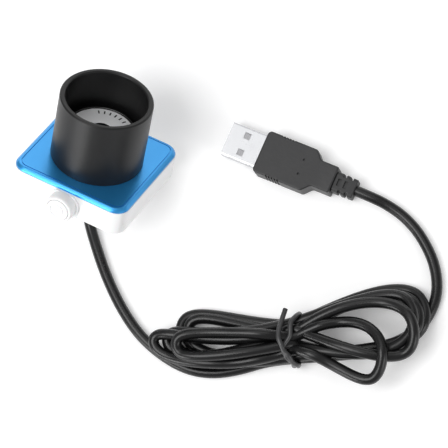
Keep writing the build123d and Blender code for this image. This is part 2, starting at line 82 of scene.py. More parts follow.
# ---------------------------------------------------------------- shader maths
class Socket:
    """An output of a shader node that can be written into an expression."""

    def __init__(self, recipe: "Recipe", output: bpy.types.NodeSocket) -> None:
        """Wrap an output of one of a recipe's nodes."""
        self.recipe = recipe
        self.output = output

    def _math(self, operation: str, *terms: "Socket | float") -> "Socket":
        """Add a Math node on the given terms."""
        return self.recipe.node("ShaderNodeMath", {"operation": operation}, dict(enumerate(terms)))

    def __add__(self, other: "Socket | float") -> "Socket":
        """Sum."""
        return self._math("ADD", self, other)

    def __sub__(self, other: "Socket | float") -> "Socket":
        """Difference."""
        return self._math("SUBTRACT", self, other)

    def __rsub__(self, other: float) -> "Socket":
        """Difference from a number."""
        return self._math("SUBTRACT", other, self)

    def __mul__(self, other: "Socket | float") -> "Socket":
        """Product."""
        return self._math("MULTIPLY", self, other)

    def __pow__(self, other: float) -> "Socket":
        """Power."""
        return self._math("POWER", self, other)

    __radd__ = __add__
    __rmul__ = __mul__


class Recipe:
    """A material being made: its node tree and the one method that adds nodes."""

    def __init__(self, name: str) -> None:
        """Start an empty material of that name."""
        self.material = bpy.data.materials.new(name)
        self.material.use_nodes = True
        self.tree = self.material.node_tree
        self.tree.nodes.clear()

    def node(
        self,
        kind: str,
        settings: Optional[dict] = None,
        inputs: Optional[dict] = None,
        output: int = 0,
    ) -> Socket:
        """Add a node.

        Args:
            kind: the node's type.
            settings: its properties, set first; "stops" are a ramp's (place, colour) pairs.
            inputs: a value or a Socket for each input, by name or number.
            output: the number of the output that is wanted.

        Returns:
            The wanted output.
        """
        made = self.tree.nodes.new(kind)
        for key, value in (settings or {}).items():
            if key == "stops":
                for step, (place, colour) in enumerate(value):
                    ramp = made.color_ramp.elements
                    stop = ramp[step] if step < 2 else ramp.new(place)
                    stop.position, stop.color = place, (*colour, 1)
            else:
                setattr(made, key, value)
        for key, value in (inputs or {}).items():
            if isinstance(value, Socket):
                self.tree.links.new(value.output, made.inputs[key])
            else:
                made.inputs[key].default_value = value
        return Socket(self, made.outputs[output] if made.outputs else None)

    def place(self, frame: Optional[Matrix] = None, stretch: Point = (1, 1, 1)) -> Socket:
        """Object coordinates, seen from a piece's own frame and stretched."""
        spot = self.node("ShaderNodeTexCoord", output=3)
        if frame is not None:
            spot = self.node(
                "ShaderNodeMapping",
                {"vector_type": "TEXTURE"},
                {0: spot, 1: frame.translation, 2: frame.to_euler()},
            )
        return self.node("ShaderNodeVectorMath", {"operation": "MULTIPLY"}, {0: spot, 1: stretch})

    def noise(self, scale: float, where: Optional[Socket] = None, detail: float = 3) -> Socket:
        """Soft noise, with scale in waves a metre."""
        spot = where or self.place()
        return self.node("ShaderNodeTexNoise", None, {0: spot, "Scale": scale, "Detail": detail})

    def ramp(self, factor: Socket, *stops: tuple[float, Colour]) -> Socket:
        """A colour ramp."""
        return self.node("ShaderNodeValToRGB", {"stops": stops}, {0: factor})

    def mix(self, factor: Socket, first: "Socket | Colour", second: "Socket | Colour") -> Socket:
        """The first colour where factor is 0 and the second where it is 1."""
        ends = [end if isinstance(end, Socket) else (*end, 1) for end in (first, second)]
        return self.node(
            "ShaderNodeMix", {"data_type": "RGBA"}, {0: factor, 6: ends[0], 7: ends[1]}, output=2
        )

    def bump(self, height: Socket, depth: float, under: Optional[Socket] = None) -> Socket:
        """A bumped normal, with depth the relief in millimetres."""
        inputs = {"Height": height, "Distance": depth * MM, "Strength": 1.0}
        if under is not None:
            inputs["Normal"] = under
        return self.node("ShaderNodeBump", None, inputs)

    def finish(self, **inputs: "Socket | float | Colour") -> bpy.types.Material:
        """Close the material with a principled shader, its inputs named with underscores."""
        values = {
            key.replace("_", " "): (*value, 1) if isinstance(value, tuple) else value
            for key, value in inputs.items()
        }
        shader = self.node("ShaderNodeBsdfPrincipled", None, values)
        self.node("ShaderNodeOutputMaterial", None, {0: shader})
        return self.material


# ---------------------------------------------------------------- finishes
class Finish:
    """What a surface is made of."""

    def build(self, name: str) -> bpy.types.Material:
        """Make the material."""
        raise NotImplementedError


@dataclass(frozen=True)
class Moulding(Finish):
    """A moulded plastic or rubber with a sparked texture.

    Attributes:
        colour: the plastic's own colour.
        shade: the colour that its mottling turns to.
        gloss: roughness of the skin.
        grain: waves a metre in the sparked texture.
        relief: depth of that texture, mm.
        coat: weight of a glossier skin.
        softness: how much light goes in under the skin.
    """

    colour: Colour
    shade: Colour
    gloss: float = 0.4
    grain: float = 5200
    relief: float = 0.01
    coat: float = 0.0
    softness: float = 0.0

    def build(self, name: str) -> bpy.types.Material:
        """Make the material."""
        made = Recipe(name)
        cloud = made.noise(130, detail=5)
        flow = made.noise(900, made.place(stretch=(1, 1, 0.25)))
        grain = made.noise(self.grain, detail=2)
        colour = made.mix(cloud ** 2.0, self.colour, self.shade)
        waves = made.bump(flow, self.relief * 1.6)
        return made.finish(
            Base_Color=colour,
            Roughness=cloud * 0.12 + grain * 0.06 + (self.gloss - 0.09),
            Coat_Weight=self.coat,
            Coat_Roughness=0.12,
            Subsurface_Weight=self.softness,
            Subsurface_Scale=0.0006,
            IOR=1.49,
            Normal=made.bump(grain, self.relief, waves),
        )


@dataclass(frozen=True)
class Cast(Finish):
    """A bead-blasted, plated or drawn metal.

    Attributes:
        colour: its reflection.
        shade: the colour that its mottling turns to.
        gloss: roughness.
        grain: waves a metre in the blasted texture.
        relief: depth of that texture, mm.
        draw: how far the grain is stretched along x, y and z.
        dye: weight of the clear sealed skin over it.
        metal: less than 1 where a dye scatters light.
    """

    colour: Colour
    shade: Colour
    gloss: float = 0.3
    grain: float = 6000
    relief: float = 0.004
    draw: Point = (1, 1, 1)
    dye: float = 0.0
    metal: float = 1.0

    def build(self, name: str) -> bpy.types.Material:
        """Make the material."""
        made = Recipe(name)
        cloud = made.noise(90, detail=4)
        grain = made.noise(self.grain, made.place(stretch=self.draw), detail=2)
        scuff = made.noise(1400, made.place(stretch=(0.15, 1, 1)), detail=6)
        worn = made.ramp(scuff, (0.62, (0, 0, 0)), (0.74, (1, 1, 1)))
        return made.finish(
            Base_Color=made.mix(cloud, self.colour, self.shade),
            Metallic=self.metal,
            Roughness=cloud * 0.1 + grain * 0.08 + worn * 0.06 + (self.gloss - 0.1),
            Coat_Weight=self.dye,
            Coat_Roughness=0.2,
            Normal=made.bump(grain, self.relief),
        )


@dataclass(frozen=True)
class TurnedBlack(Finish):
    """Black-dyed aluminium with the lathe's fine rings still in it.

    Attributes:
        frame: the camera's frame, with the lathe's axis along z.
        pitch: rings a metre.
    """

    frame: Matrix
    pitch: float = 5200

    def build(self, name: str) -> bpy.types.Material:
        """Make the material."""
        made = Recipe(name)
        rings = made.noise(self.pitch, made.place(self.frame, (0.001, 0.001, 1)), detail=4)
        bands = made.noise(420, made.place(self.frame, (0.02, 0.02, 1)), detail=2)
        dust = made.noise(2600, detail=6)
        specks = made.ramp(dust, (0.66, (0, 0, 0)), (0.76, (1, 1, 1)))
        cloud = made.noise(70, detail=3)
        return made.finish(
            Base_Color=made.mix(
                cloud * 0.6 + specks * 0.25, (0.006, 0.006, 0.0063), (0.016, 0.016, 0.0165)
            ),
            Roughness=bands * 0.07 + specks * 0.1 + cloud * 0.06 + 0.32,
            Specular_IOR_Level=0.3,
            Normal=made.bump(rings, 0.0035),
        )


@dataclass(frozen=True)
class SpunDisc(Finish):
    """A silver disc with the round brushing of a lathe.

    Attributes:
        frame: the camera's frame, with the disc's axis along z.
    """

    frame: Matrix

    def build(self, name: str) -> bpy.types.Material:
        """Make the material."""
        made = Recipe(name)
        spot = made.place(self.frame, (1, 1, 0))
        reach = made.node("ShaderNodeVectorMath", {"operation": "LENGTH"}, {0: spot}, output=1)
        rings = made.node(
            "ShaderNodeTexNoise", {"noise_dimensions": "1D"}, {"W": reach, "Scale": 9000, "Detail": 4}
        )
        cloud = made.noise(240, detail=4)
        return made.finish(
            Base_Color=made.mix(rings * 0.7 + cloud * 0.3, (0.95, 0.955, 0.96), (0.86, 0.865, 0.875)),
            Metallic=0.2,
            Roughness=rings * 0.1 + cloud * 0.1 + 0.36,
            Normal=made.bump(rings, 0.004),
        )


@dataclass(frozen=True)
class Glass(Finish):
    """A coated window, with the faint tint of its infrared filter."""

    def build(self, name: str) -> bpy.types.Material:
        """Make the material."""
        made = Recipe(name)
        smear = made.noise(500, detail=5)
        return made.finish(
            Base_Color=made.mix(smear, (0.86, 0.95, 0.96), (0.78, 0.88, 0.95)),
            Roughness=smear * 0.05 + 0.02,
            Transmission_Weight=1.0,
            IOR=1.5,
            Coat_Weight=0.4,
            Coat_Tint=(0.6, 0.75, 1.0),
            Normal=made.bump(smear, 0.001),
        )


@dataclass(frozen=True)
class Board(Finish):
    """A circuit board's green solder mask over its copper traces.

    Attributes:
        frame: the camera's frame, so that the traces run along the board.
    """

    frame: Matrix

    def build(self, name: str) -> bpy.types.Material:
        """Make the material."""
        made = Recipe(name)
        along = made.node(
            "ShaderNodeTexBrick",
            {"offset": 0.5, "squash": 1.0},
            {
                0: made.place(self.frame),
                "Color1": (0, 0, 0, 1),
                "Color2": (0, 0, 0, 1),
                "Mortar": (1, 1, 1, 1),
                "Scale": 300,
                "Mortar Size": 0.06,
                "Row Height": 0.4,
                "Brick Width": 1.7,
            },
        )
        cloud = made.noise(300)
        mask = made.mix(cloud, (0.01, 0.09, 0.035), (0.015, 0.13, 0.05))
        return made.finish(
            Base_Color=made.mix(along, mask, (0.05, 0.24, 0.1)),
            Roughness=cloud * 0.1 + 0.24,
            Coat_Weight=0.5,
            Normal=made.bump(along, 0.02),
        )


@dataclass(frozen=True)
class Jacket(Finish):
    """A lead's drawn vinyl jacket, satin with faint drawing marks and dust."""

    def build(self, name: str) -> bpy.types.Material:
        """Make the material."""
        made = Recipe(name)
        cloud = made.noise(110, detail=5)
        drawn = made.noise(1500, detail=4)
        dust = made.noise(7000, detail=2)
        specks = made.ramp(dust, (0.68, (0, 0, 0)), (0.78, (1, 1, 1)))
        return made.finish(
            Base_Color=made.mix(
                cloud * 0.5 + specks * 0.2, (0.004, 0.004, 0.0043), (0.011, 0.011, 0.0115)
            ),
            Roughness=cloud * 0.1 + drawn * 0.06 + specks * 0.1 + 0.2,
            Specular_IOR_Level=0.38,
            Normal=made.bump(dust, 0.003, made.bump(drawn, 0.009)),
        )


def finishes(frame: Matrix) -> dict[str, Finish]:
    """The finish of each of the record's material slots.

    Args:
        frame: the camera's frame in the row.

    Returns:
        A finish for each slot's name.
    """
    return {
        "black_barrel": TurnedBlack(frame),
        "blue_plate": Cast(
            (0.03, 0.3, 0.7), (0.04, 0.34, 0.76), gloss=0.34, grain=9000, relief=0.003, dye=0.35, metal=0.75
        ),
        "white_shell": Moulding(
            (0.8, 0.805, 0.81), (0.77, 0.775, 0.78), gloss=0.3, relief=0.004, coat=0.25, softness=0.08
        ),
        "white_button": Moulding(
            (0.8, 0.8, 0.805), (0.76, 0.76, 0.77), gloss=0.24, relief=0.002, coat=0.35, softness=0.08
        ),
        "black_moulding": Moulding((0.013, 0.013, 0.014), (0.03, 0.03, 0.031), gloss=0.5),
        "silver_disc": SpunDisc(frame),
        "ring_steel": Cast((0.07, 0.07, 0.072), (0.045, 0.045, 0.047), gloss=0.22, dye=0.3),
        "window_glass": Glass(),
        "sensor_ceramic": Moulding((0.03, 0.032, 0.045), (0.07, 0.06, 0.1), gloss=0.18, coat=0.5),
        "board_green": Board(frame),
        "chip_black": Moulding((0.02, 0.02, 0.021), (0.045, 0.045, 0.047), gloss=0.55, relief=0.02),
        "component_tan": Moulding((0.45, 0.3, 0.17), (0.6, 0.45, 0.3), gloss=0.4),
        "crystal_can": Cast((0.75, 0.75, 0.76), (0.6, 0.6, 0.62), gloss=0.25),
        "header_white": Moulding((0.78, 0.76, 0.7), (0.7, 0.68, 0.62), gloss=0.45),
        "screw_steel": Cast((0.56, 0.56, 0.57), (0.4, 0.4, 0.42), gloss=0.28, draw=(1, 0.2, 1)),
        "spring_steel": Cast((0.6, 0.6, 0.62), (0.45, 0.45, 0.47), gloss=0.22),
        "seal_black": Moulding((0.012, 0.012, 0.012), (0.03, 0.03, 0.03), gloss=0.6),
        "relief_rubber": Moulding((0.014, 0.014, 0.015), (0.034, 0.034, 0.035), gloss=0.52, relief=0.014),
        "wire_colours": Moulding((0.5, 0.04, 0.03), (0.7, 0.1, 0.06), gloss=0.35),
        "lead_jacket": Jacket(),
        "tie_plastic": Moulding((0.02, 0.02, 0.021), (0.06, 0.06, 0.062), gloss=0.38, coat=0.2),
        "plug_steel": Cast(
            (0.57, 0.575, 0.59), (0.5, 0.505, 0.52), gloss=0.26, relief=0.002, draw=(1, 0.1, 1)
        ),
        "plug_moulding": Moulding(
            (0.012, 0.012, 0.013), (0.028, 0.028, 0.029), gloss=0.45, grain=4200, relief=0.02
        ),
        "tongue_white": Moulding((0.8, 0.8, 0.79), (0.72, 0.72, 0.7), gloss=0.4, relief=0.004),
        "contact_gold": Cast((0.85, 0.6, 0.25), (0.75, 0.5, 0.2), gloss=0.2),
    }


# ---------------------------------------------------------------- bench
class Side(Enum):
    """The ways that a drum can run, as unit directions."""

    BACK = (0, 1, 0)
    TOP = (0, 0, 1)


class Bench:
    """Modelling steps, each done with Blender's own operators."""

    @staticmethod
    def clear() -> None:
        """Leave edit mode and deselect everything."""
        if bpy.context.object and bpy.context.object.mode != "OBJECT":
            bpy.ops.object.mode_set(mode="OBJECT")
        bpy.ops.object.select_all(action="DESELECT")

    @staticmethod
    def wake(piece: bpy.types.Object) -> None:
        """Make a piece the only one selected, and active."""
        Bench.clear()
        piece.select_set(True)
        bpy.context.view_layer.objects.active = piece

    @staticmethod
    def edit(piece: bpy.types.Object) -> None:
        """Open a piece in edit mode."""
        Bench.wake(piece)
        bpy.ops.object.mode_set(mode="EDIT")

    @staticmethod
    def named(name: str) -> bpy.types.Object:
        """Name the primitive that was just added."""
        piece = bpy.context.object
        piece.name = piece.data.name = name
        return piece

    @staticmethod
    def pick_faces(piece: bpy.types.Object, test: Callable[[Vector, Vector], bool]) -> None:
        """Select the faces whose middle and normal pass a test, in edit mode."""
        mesh = bmesh.from_edit_mesh(piece.data)
        bpy.ops.mesh.select_all(action="DESELECT")
        bpy.ops.mesh.select_mode(type="FACE")
        for face in mesh.faces:
            face.select_set(test(face.calc_center_median(), face.normal))
        bmesh.update_edit_mesh(piece.data)

    @staticmethod
    def pick_edges(piece: bpy.types.Object, test: Callable[[Vector, Vector], bool]) -> None:
        """Select the edges whose two ends pass a test, in edit mode."""
        mesh = bmesh.from_edit_mesh(piece.data)
        bpy.ops.mesh.select_all(action="DESELECT")
        bpy.ops.mesh.select_mode(type="EDGE")
        for edge in mesh.edges:
            edge.select_set(test(edge.verts[0].co, edge.verts[1].co))
        bmesh.update_edit_mesh(piece.data)

    @staticmethod
    def turned(name: str, profile: Sequence[tuple[float, float]], sides: int = 128) -> bpy.types.Object:
        """A piece as off a lathe, drawn ring by ring about z.

        Args:
            name: the piece's name.
            profile: (radius, height) pairs. A profile that starts or ends at radius
                0 is capped there, and any other is closed on itself.
            sides: how many sides its circles have.

        Returns:
            The piece, its faces outwards.
        """
        capped = profile[0][0] == 0
        rings = profile[1:] if capped else profile
        Bench.clear()
        bpy.ops.mesh.primitive_circle_add(
            vertices=sides, radius=rings[0][0], location=(0, 0, rings[0][1]),
            fill_type="TRIFAN" if capped else "NOTHING",
        )
        piece = Bench.named(name)
        bpy.ops.object.transform_apply(location=True, rotation=False, scale=False)
        bpy.ops.object.mode_set(mode="EDIT")
        first_radius, first_height = rings[0]
        Bench.pick_edges(
            piece,
            lambda a, b: min(a.xy.length, b.xy.length) > 0.9 * first_radius,
        )
        radius, height = rings[0]
        for next_radius, next_height in rings[1:]:
            bpy.ops.mesh.extrude_edges_move(
                TRANSFORM_OT_translate={"value": (0, 0, next_height - height)}
            )
            if next_radius == 0:
                bpy.ops.mesh.merge(type="CENTER")
                break
            if next_radius != radius:
                grow = next_radius / radius
                bpy.ops.transform.resize(value=(grow, grow, 1), center_override=(0, 0, next_height))
            radius, height = next_radius, next_height
        if not capped:
            bpy.ops.mesh.extrude_edges_move(
                TRANSFORM_OT_translate={"value": (0, 0, first_height - height)}
            )
            grow = first_radius / radius
            bpy.ops.transform.resize(value=(grow, grow, 1), center_override=(0, 0, first_height))
        Bench.outward()
        return piece

    @staticmethod
    def sheet(name: str, half: tuple[float, float], corner: float, height: float) -> bpy.types.Object:
        """A rounded rectangle facing up, in edit mode with its face selected.

        Args:
            name: the piece's name.
            half: half its size along x and y.
            corner: radius of its corners.
            height: its place along z.

        Returns:
            The piece, ready to be raised.
        """
        Bench.clear()
        bpy.ops.mesh.primitive_plane_add(size=2, location=(0, 0, height))
        piece = Bench.named(name)
        piece.scale = (*half, 1)
        bpy.ops.object.transform_apply(location=True, rotation=False, scale=True)
        bpy.ops.object.mode_set(mode="EDIT")
        bpy.ops.mesh.select_all(action="SELECT")
        bpy.ops.mesh.bevel(affect="VERTICES", offset=corner, segments=10, profile=0.5)
        bpy.ops.mesh.select_all(action="SELECT")
        return piece

    @staticmethod
    def rise(amount: float) -> None:
        """Extrude the selected faces along z."""
        bpy.ops.mesh.extrude_region_move(TRANSFORM_OT_translate={"value": (0, 0, amount)})

    @staticmethod
    def step(width: float, depth: float = 0.0) -> None:
        """Inset the selected faces and move the inset along their normal."""
        bpy.ops.mesh.inset(thickness=width, depth=depth, use_even_offset=True)

    @staticmethod
    def outward() -> None:
        """Weld doubles, turn every face outwards and leave edit mode."""
        bpy.ops.mesh.select_all(action="SELECT")
        bpy.ops.mesh.remove_doubles(threshold=1e-4)
        bpy.ops.mesh.normals_make_consistent(inside=False)
        Bench.clear()

    @staticmethod
    def drum(
        name: str, radius: float, spot: Point, length: float, way: Side, sides: int = 48
    ) -> bpy.types.Object:
        """A plain round cutter or boss, centred on spot and running along a way."""
        Bench.clear()
        bpy.ops.mesh.primitive_cylinder_add(vertices=sides, radius=radius, depth=length, location=spot)
        piece = Bench.named(name)
        piece.rotation_euler = Vector((0, 0, 1)).rotation_difference(Vector(way.value)).to_euler()
        bpy.ops.object.transform_apply(location=True, rotation=True, scale=False)
        return piece

    @staticmethod
    def block(name: str, size: Point, spot: Point, rounding: float = 0.0) -> bpy.types.Object:
        """A box of a size about a spot, its edges rounded."""
        Bench.clear()
        bpy.ops.mesh.primitive_cube_add(size=1, location=spot)
        piece = Bench.named(name)
        piece.scale = size
        bpy.ops.object.transform_apply(location=True, rotation=False, scale=True)
        if rounding:
            Bench.soften(piece, rounding, 3)
        return piece

    @staticmethod
    def combine(
        piece: bpy.types.Object, tools: Sequence[bpy.types.Object], operation: str = "DIFFERENCE"
    ) -> None:
        """Cut tools out of a piece, or weld them to it, and put them away."""
        for tool in tools:
            Bench.wake(piece)
            change = piece.modifiers.new("combine", "BOOLEAN")
            change.operation, change.object, change.solver = operation, tool, "EXACT"
            bpy.ops.object.modifier_apply(modifier=change.name)
            bpy.data.objects.remove(tool)

    @staticmethod
    def soften(piece: bpy.types.Object, width: float, segments: int = 2, angle: float = 32) -> None:
        """Round every edge sharper than an angle."""
        Bench.wake(piece)
        change = piece.modifiers.new("soften", "BEVEL")
        change.width, change.segments = width, segments
        change.limit_method, change.angle_limit = "ANGLE", radians(angle)
        change.use_clamp_overlap = True
        bpy.ops.object.modifier_apply(modifier=change.name)

    @staticmethod
    def smooth(piece: bpy.types.Object, angle: float = 28) -> None:
        """Shade smooth but for edges sharper than an angle, with flat faces kept flat."""
        Bench.wake(piece)
        bpy.ops.object.shade_smooth_by_angle(angle=radians(angle))
        change = piece.modifiers.new("level", "WEIGHTED_NORMAL")
        change.keep_sharp = True
        bpy.ops.object.modifier_apply(modifier=change.name)

    @staticmethod
    def close(piece: bpy.types.Object) -> None:
        """Leave edit mode with a raised piece's open rim, if it has one, filled."""
        Bench.outward()
        Bench.edit(piece)
        bpy.ops.mesh.select_all(action="DESELECT")
        bpy.ops.mesh.select_mode(type="EDGE")
        bpy.ops.mesh.select_non_manifold()
        if piece.data.total_edge_sel:
            bpy.ops.mesh.edge_face_add()
        Bench.outward()

    @staticmethod
    def line(
        name: str, points: Sequence[Point], radius: float, steps: int, roundness: int
    ) -> bpy.types.Object:
        """A round tube along one smooth open line, its ends closed.

        Args:
            name: the piece's name.
            points: the line's control points.
            radius: of the tube.
            steps: divisions of the curve between two control points.
            roundness: of its section, as the curve's bevel resolution.

        Returns:
            The tube, still a curve.
        """
        Bench.clear()
        line = bpy.data.curves.new(name, "CURVE")
        line.dimensions, line.resolution_u = "3D", steps
        line.bevel_depth, line.bevel_resolution = radius, roundness
        line.use_fill_caps = True
        spline = line.splines.new("NURBS")
        spline.points.add(len(points) - 1)
        for knot, point in zip(spline.points, points):
            knot.co = (*point, 1)
        spline.order_u = 3
        spline.use_endpoint_u = True
        piece = bpy.data.objects.new(name, line)
        bpy.context.scene.collection.objects.link(piece)
        return piece

    @staticmethod
    def wire(name: str, points: Sequence[Point], radius: float) -> bpy.types.Object:
        """A round wire along a smooth line, as a mesh."""
        Bench.wake(Bench.line(name, points, radius, steps=8, roundness=5))
        bpy.ops.object.convert(target="MESH")
        piece = Bench.named(name)
        Bench.edit(piece)
        Bench.outward()
        return piece

    @staticmethod
    def copies(piece: bpy.types.Object, moves: Sequence[Matrix]) -> bpy.types.Object:
        """Repeat a piece at each move, each copy with its own mesh, and join them."""
        made = []
        for move in moves:
            twin = piece.copy()
            twin.data = piece.data.copy()
            twin.data.transform(move)
            bpy.context.scene.collection.objects.link(twin)
            made.append(twin)
        name = piece.name
        bpy.data.objects.remove(piece)
        Bench.clear()
        for twin in made:
            twin.select_set(True)
        bpy.context.view_layer.objects.active = made[0]
        bpy.ops.object.join()
        return Bench.named(name)


@dataclass
class Workshop:
    """What every sub-assembly needs: the frame, the places and the finishes.

    Attributes:
        camera: the camera's frame in the row, in millimetres of its own.
        plug: the plug's frame, its x from the tip along the plug.
        paints: the material of each slot.
    """

    frame: dict
    camera: Matrix = field(init=False)
    plug: Matrix = field(init=False)
    paints: dict[str, bpy.types.Material] = field(init=False)

    def __post_init__(self) -> None:
        """Work out the places from the record's mounts, and mix the paints."""
        mounts = {mount["name"]: mount for mount in self.frame["record"]["mounts"]}
        barrel, tip = mounts["barrel"], mounts["usb_plug"]
        along = Vector(barrel["axis"]).normalized()
        middle = Vector(barrel["pos_m"]) - along * Nosepiece.mount_height * MM
        self.camera = self.placed(middle, Vector((1, 0, 0)), along)
        self.plug = self.placed(Vector(tip["pos_m"]), -Vector(tip["axis"]), Vector((0, 0, 1)))
        unscaled = self.camera @ Matrix.Scale(1 / MM, 4)
        self.paints = {slot: finish.build(slot) for slot, finish in finishes(unscaled).items()}

    @staticmethod
    def placed(origin: Vector, x_way: Vector, z_way: Vector) -> Matrix:
        """A frame at an origin in metres, with its own millimetres."""
        x_way, z_way = x_way.normalized(), z_way.normalized()
        turn = Matrix((x_way, z_way.cross(x_way), z_way)).transposed().to_4x4()
        return Matrix.Translation(origin) @ turn @ Matrix.Scale(MM, 4)

    def dress(
        self,
        piece: bpy.types.Object,
        where: Matrix,
        slot: str,
        body: str = "root",
        stands_for: Sequence[str] = (),
    ) -> bpy.types.Object:
        """Put a finished piece in its place and give it its paint.

        Args:
            piece: the piece, modelled in its own frame.
            where: that frame in the row.
            slot: the material slot that its paint comes from.
            body: the body that it rides on.
            stands_for: CAD nodes that it replaces.

        Returns:
            The piece.
        """
        Bench.wake(piece)
        piece.matrix_world = where
        bpy.ops.object.transform_apply(location=True, rotation=True, scale=True)
        piece.data.materials.clear()
        piece.data.materials.append(self.paints[slot])
        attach(piece, body)
        if stands_for:
            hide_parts(*stands_for)
        log.info("%s on %s", piece.name, body)
        return piece


# ---------------------------------------------------------------- lead
@dataclass(frozen=True)
class Loop:
    """One loop of the hank, out from the tie and back to it.

    Attributes:
        reach: from the tie to the loop's far end, mm.
        heading: the way that it points, degrees.
        spread: half of its width where it is widest, mm.
        bow: how far its middle bows to the rear, mm.
        blunt: power that shapes its far end: a low one is square, a high one pointed.
    """

    reach: float
    heading: float
    spread: float
    bow: float
    blunt: float = 0.8


@dataclass
class Lead:
    """The camera's lead: out of the housing, round a tied hank, and to the plug.

    Attributes:
        diameter: across the jacket, mm.
        length: from the housing to the plug, metres; not used.
        waist: middle of the tie on the table, mm.
        lean: the way of the hank's length, degrees.
        layer: height of one layer of strands under the tie, mm.
        hug: distance between two crossing strands' middles, in diameters.
        hump: how steeply a strand climbs to a crossing and falls from it.
        tied: reach about the tie where its layers set the heights, in diameters.
        taper: power that narrows a loop towards the tie.
        start: the route from the exit to the hank, mm.
        end: the route from the hank to the plug, mm.
        loops: the hank's loops in winding order, right and left by turns.
        slots: each crossing of the tie: its offset to the rear, mm, and its layer.
        order: the order in which the strands came to lie on each other.
    """

    diameter: float = 3.75
    length: float = 1.15
    waist: tuple[float, float] = (85.4, -28.0)
    lean: float = 31.0
    layer: float = 3.4
    hug: float = 0.84
    hump: float = 0.3
    tied: float = 2.4
    taper: float = 1.25
    start: tuple[Point, ...] = (
        (0.0, -13.179, 8.0),
        (0.0, -16.639, 4.117),
        (2.2, -20.7, 1.95),
        (8.0, -27.0, 1.9),
        (16.0, -34.9, 1.9),
        (25.8, -42.7, 1.9),
        (36.2, -48.7, 1.9),
        (47.0, -51.6, 1.9),
        (56.6, -52.1, 1.9),
        (65.0, -49.6, 1.9),
        (72.6, -44.6, 1.9),
        (79.6, -38.2, 1.9),
    )
    end: tuple[Point, ...] = (
        (92.4, -27.6, 1.9),
        (101.5, -25.0, 1.9),
        (110.6, -19.6, 1.9),
        (118.0, -12.4, 1.9),
        (122.6, -4.6, 1.9),
        (122.8, 5.8, 1.9),
        (117.6, 15.2, 1.9),
        (109.0, 22.3, 1.9),
        (101.0, 26.0, 1.9),
        (93.6, 27.3, 2.6),
        (87.56, 27.254, 4.0),
        (82.065, 27.043, 4.0),
    )
    loops: tuple[Loop, ...] = (
        Loop(45.7, 38.9, 12.8, -0.3),
        Loop(39.7, -161.9, 9.5, -2.2),
        Loop(43.6, 36.5, 11.4, 0.6),
        Loop(36.8, -161.3, 7.8, -2.2),
        Loop(41.9, 36.6, 12.6, -1.5),
        Loop(43.6, -155.5, 5.2, -2.8, 0.6),
        Loop(41.8, 26.6, 12.6, 2.0),
        Loop(48.0, -154.6, 5.2, -4.0, 0.6),
        Loop(32.4, 6.6, 11.3, 3.9),
        Loop(39.5, -151.5, 5.2, -0.6, 0.6),
    )
    slots: tuple[tuple[float, int], ...] = (
        (-5.7, 0), (5.7, 0), (-5.7, 1), (1.9, 0), (-1.9, 1), (5.7, 1),
        (3.8, 2), (1.9, 1), (-3.8, 2), (0.0, 2), (-1.9, 0),
    )
    order: tuple[int, ...] = (11, 0, 1, 2, 3, 4, 5, 6, 7, 8, 10, 9)

    @property
    def rest(self) -> float:
        """Height of the lead's middle where it lies on the table."""
        return self.diameter / 2 + 0.025

    def crossing(self, number: int) -> Point:
        """Where a strand crosses under the tie."""
        offset, layer = self.slots[number]
        way = radians(self.lean)
        return (
            self.waist[0] - offset * sin(way),
            self.waist[1] + offset * cos(way),
            self.rest + layer * self.layer,
        )

    def strand(self, number: int, steps: int = 18) -> list[Point]:
        """A loop's points from one crossing of the tie to the next.

        Args:
            number: the loop's place in winding order.
            steps: points in the loop.

        Returns:
            The points, which leave out the crossing that the loop starts from.
        """
        loop = self.loops[number]
        rightward = number % 2 == 0
        way = radians(loop.heading)
        side = Vector((-sin(way), cos(way))) * (1 if rightward else -1)
        across = Vector((-sin(radians(self.lean)), cos(radians(self.lean))))
        points = []
        for step in range(2, steps):
            turn = tau * step / steps
            out = loop.reach * (1 - cos(turn)) / 2
            blunt = abs(sin(turn)) ** loop.blunt * sin(turn / 2) ** self.taper
            lean = -loop.spread if rightward == (turn < pi) else loop.spread
            bow = lean * blunt + loop.bow * sin(turn) ** 2
            offset, layer = self.slots[number + (turn >= pi)]
            hold = ((1 + cos(turn)) / 2) ** 2
            spot = Vector(self.waist) + Vector((cos(way), sin(way))) * out + side * bow
            spot += across * offset * hold
            points.append((*spot, self.rest + layer * self.layer * hold))
        return points[:-1] + [self.crossing(number + 1)]

    def settle(self, strand: list[Point], laid: list[tuple[Point, Point]]) -> list[Point]:
        """Lift a strand over those that it crosses, in long low humps.

        Args:
            strand: its points, at the heights that they would rest at.
            laid: the runs of cord that already lie there.

        Returns:
            The lifted points.
        """
        gap = self.hug * self.diameter
        lifted = []
        for x, y, z in strand:
            if dist((x, y), self.waist) > self.tied * self.diameter:
                spot = Vector((x, y))
                for start, stop in laid:
                    run = Vector(stop[:2]) - Vector(start[:2])
                    along = (spot - Vector(start[:2])).dot(run) / max(run.length_squared, 1e-9)
                    along = min(max(along, 0.0), 1.0)
                    near = (spot - Vector(start[:2]) - run * along).length
                    if near < gap:
                        under = start[2] + (stop[2] - start[2]) * along
                        z = max(z, under + sqrt(gap * gap - near * near))
            lifted.append((x, y, z))
        humped = []
        for x, y, z in lifted:
            hump = max(c - self.hump * dist((x, y), (a, b)) for a, b, c in lifted)
            humped.append((x, y, max(z, hump)))
        return humped

    def route(self) -> list[Point]:
        """The whole lead's points, in millimetres."""
        strands = [list(self.start) + [self.crossing(0)]]
        strands += [self.strand(number) for number in range(len(self.loops))]
        strands += [list(self.end)]
        laid: list[tuple[Point, Point]] = []
        for number in self.order:
            if 0 < number < len(strands) - 1:
                strands[number] = self.settle(strands[number], laid)
            laid += zip(strands[number], strands[number][1:])
        return [point for strand in strands for point in strand]

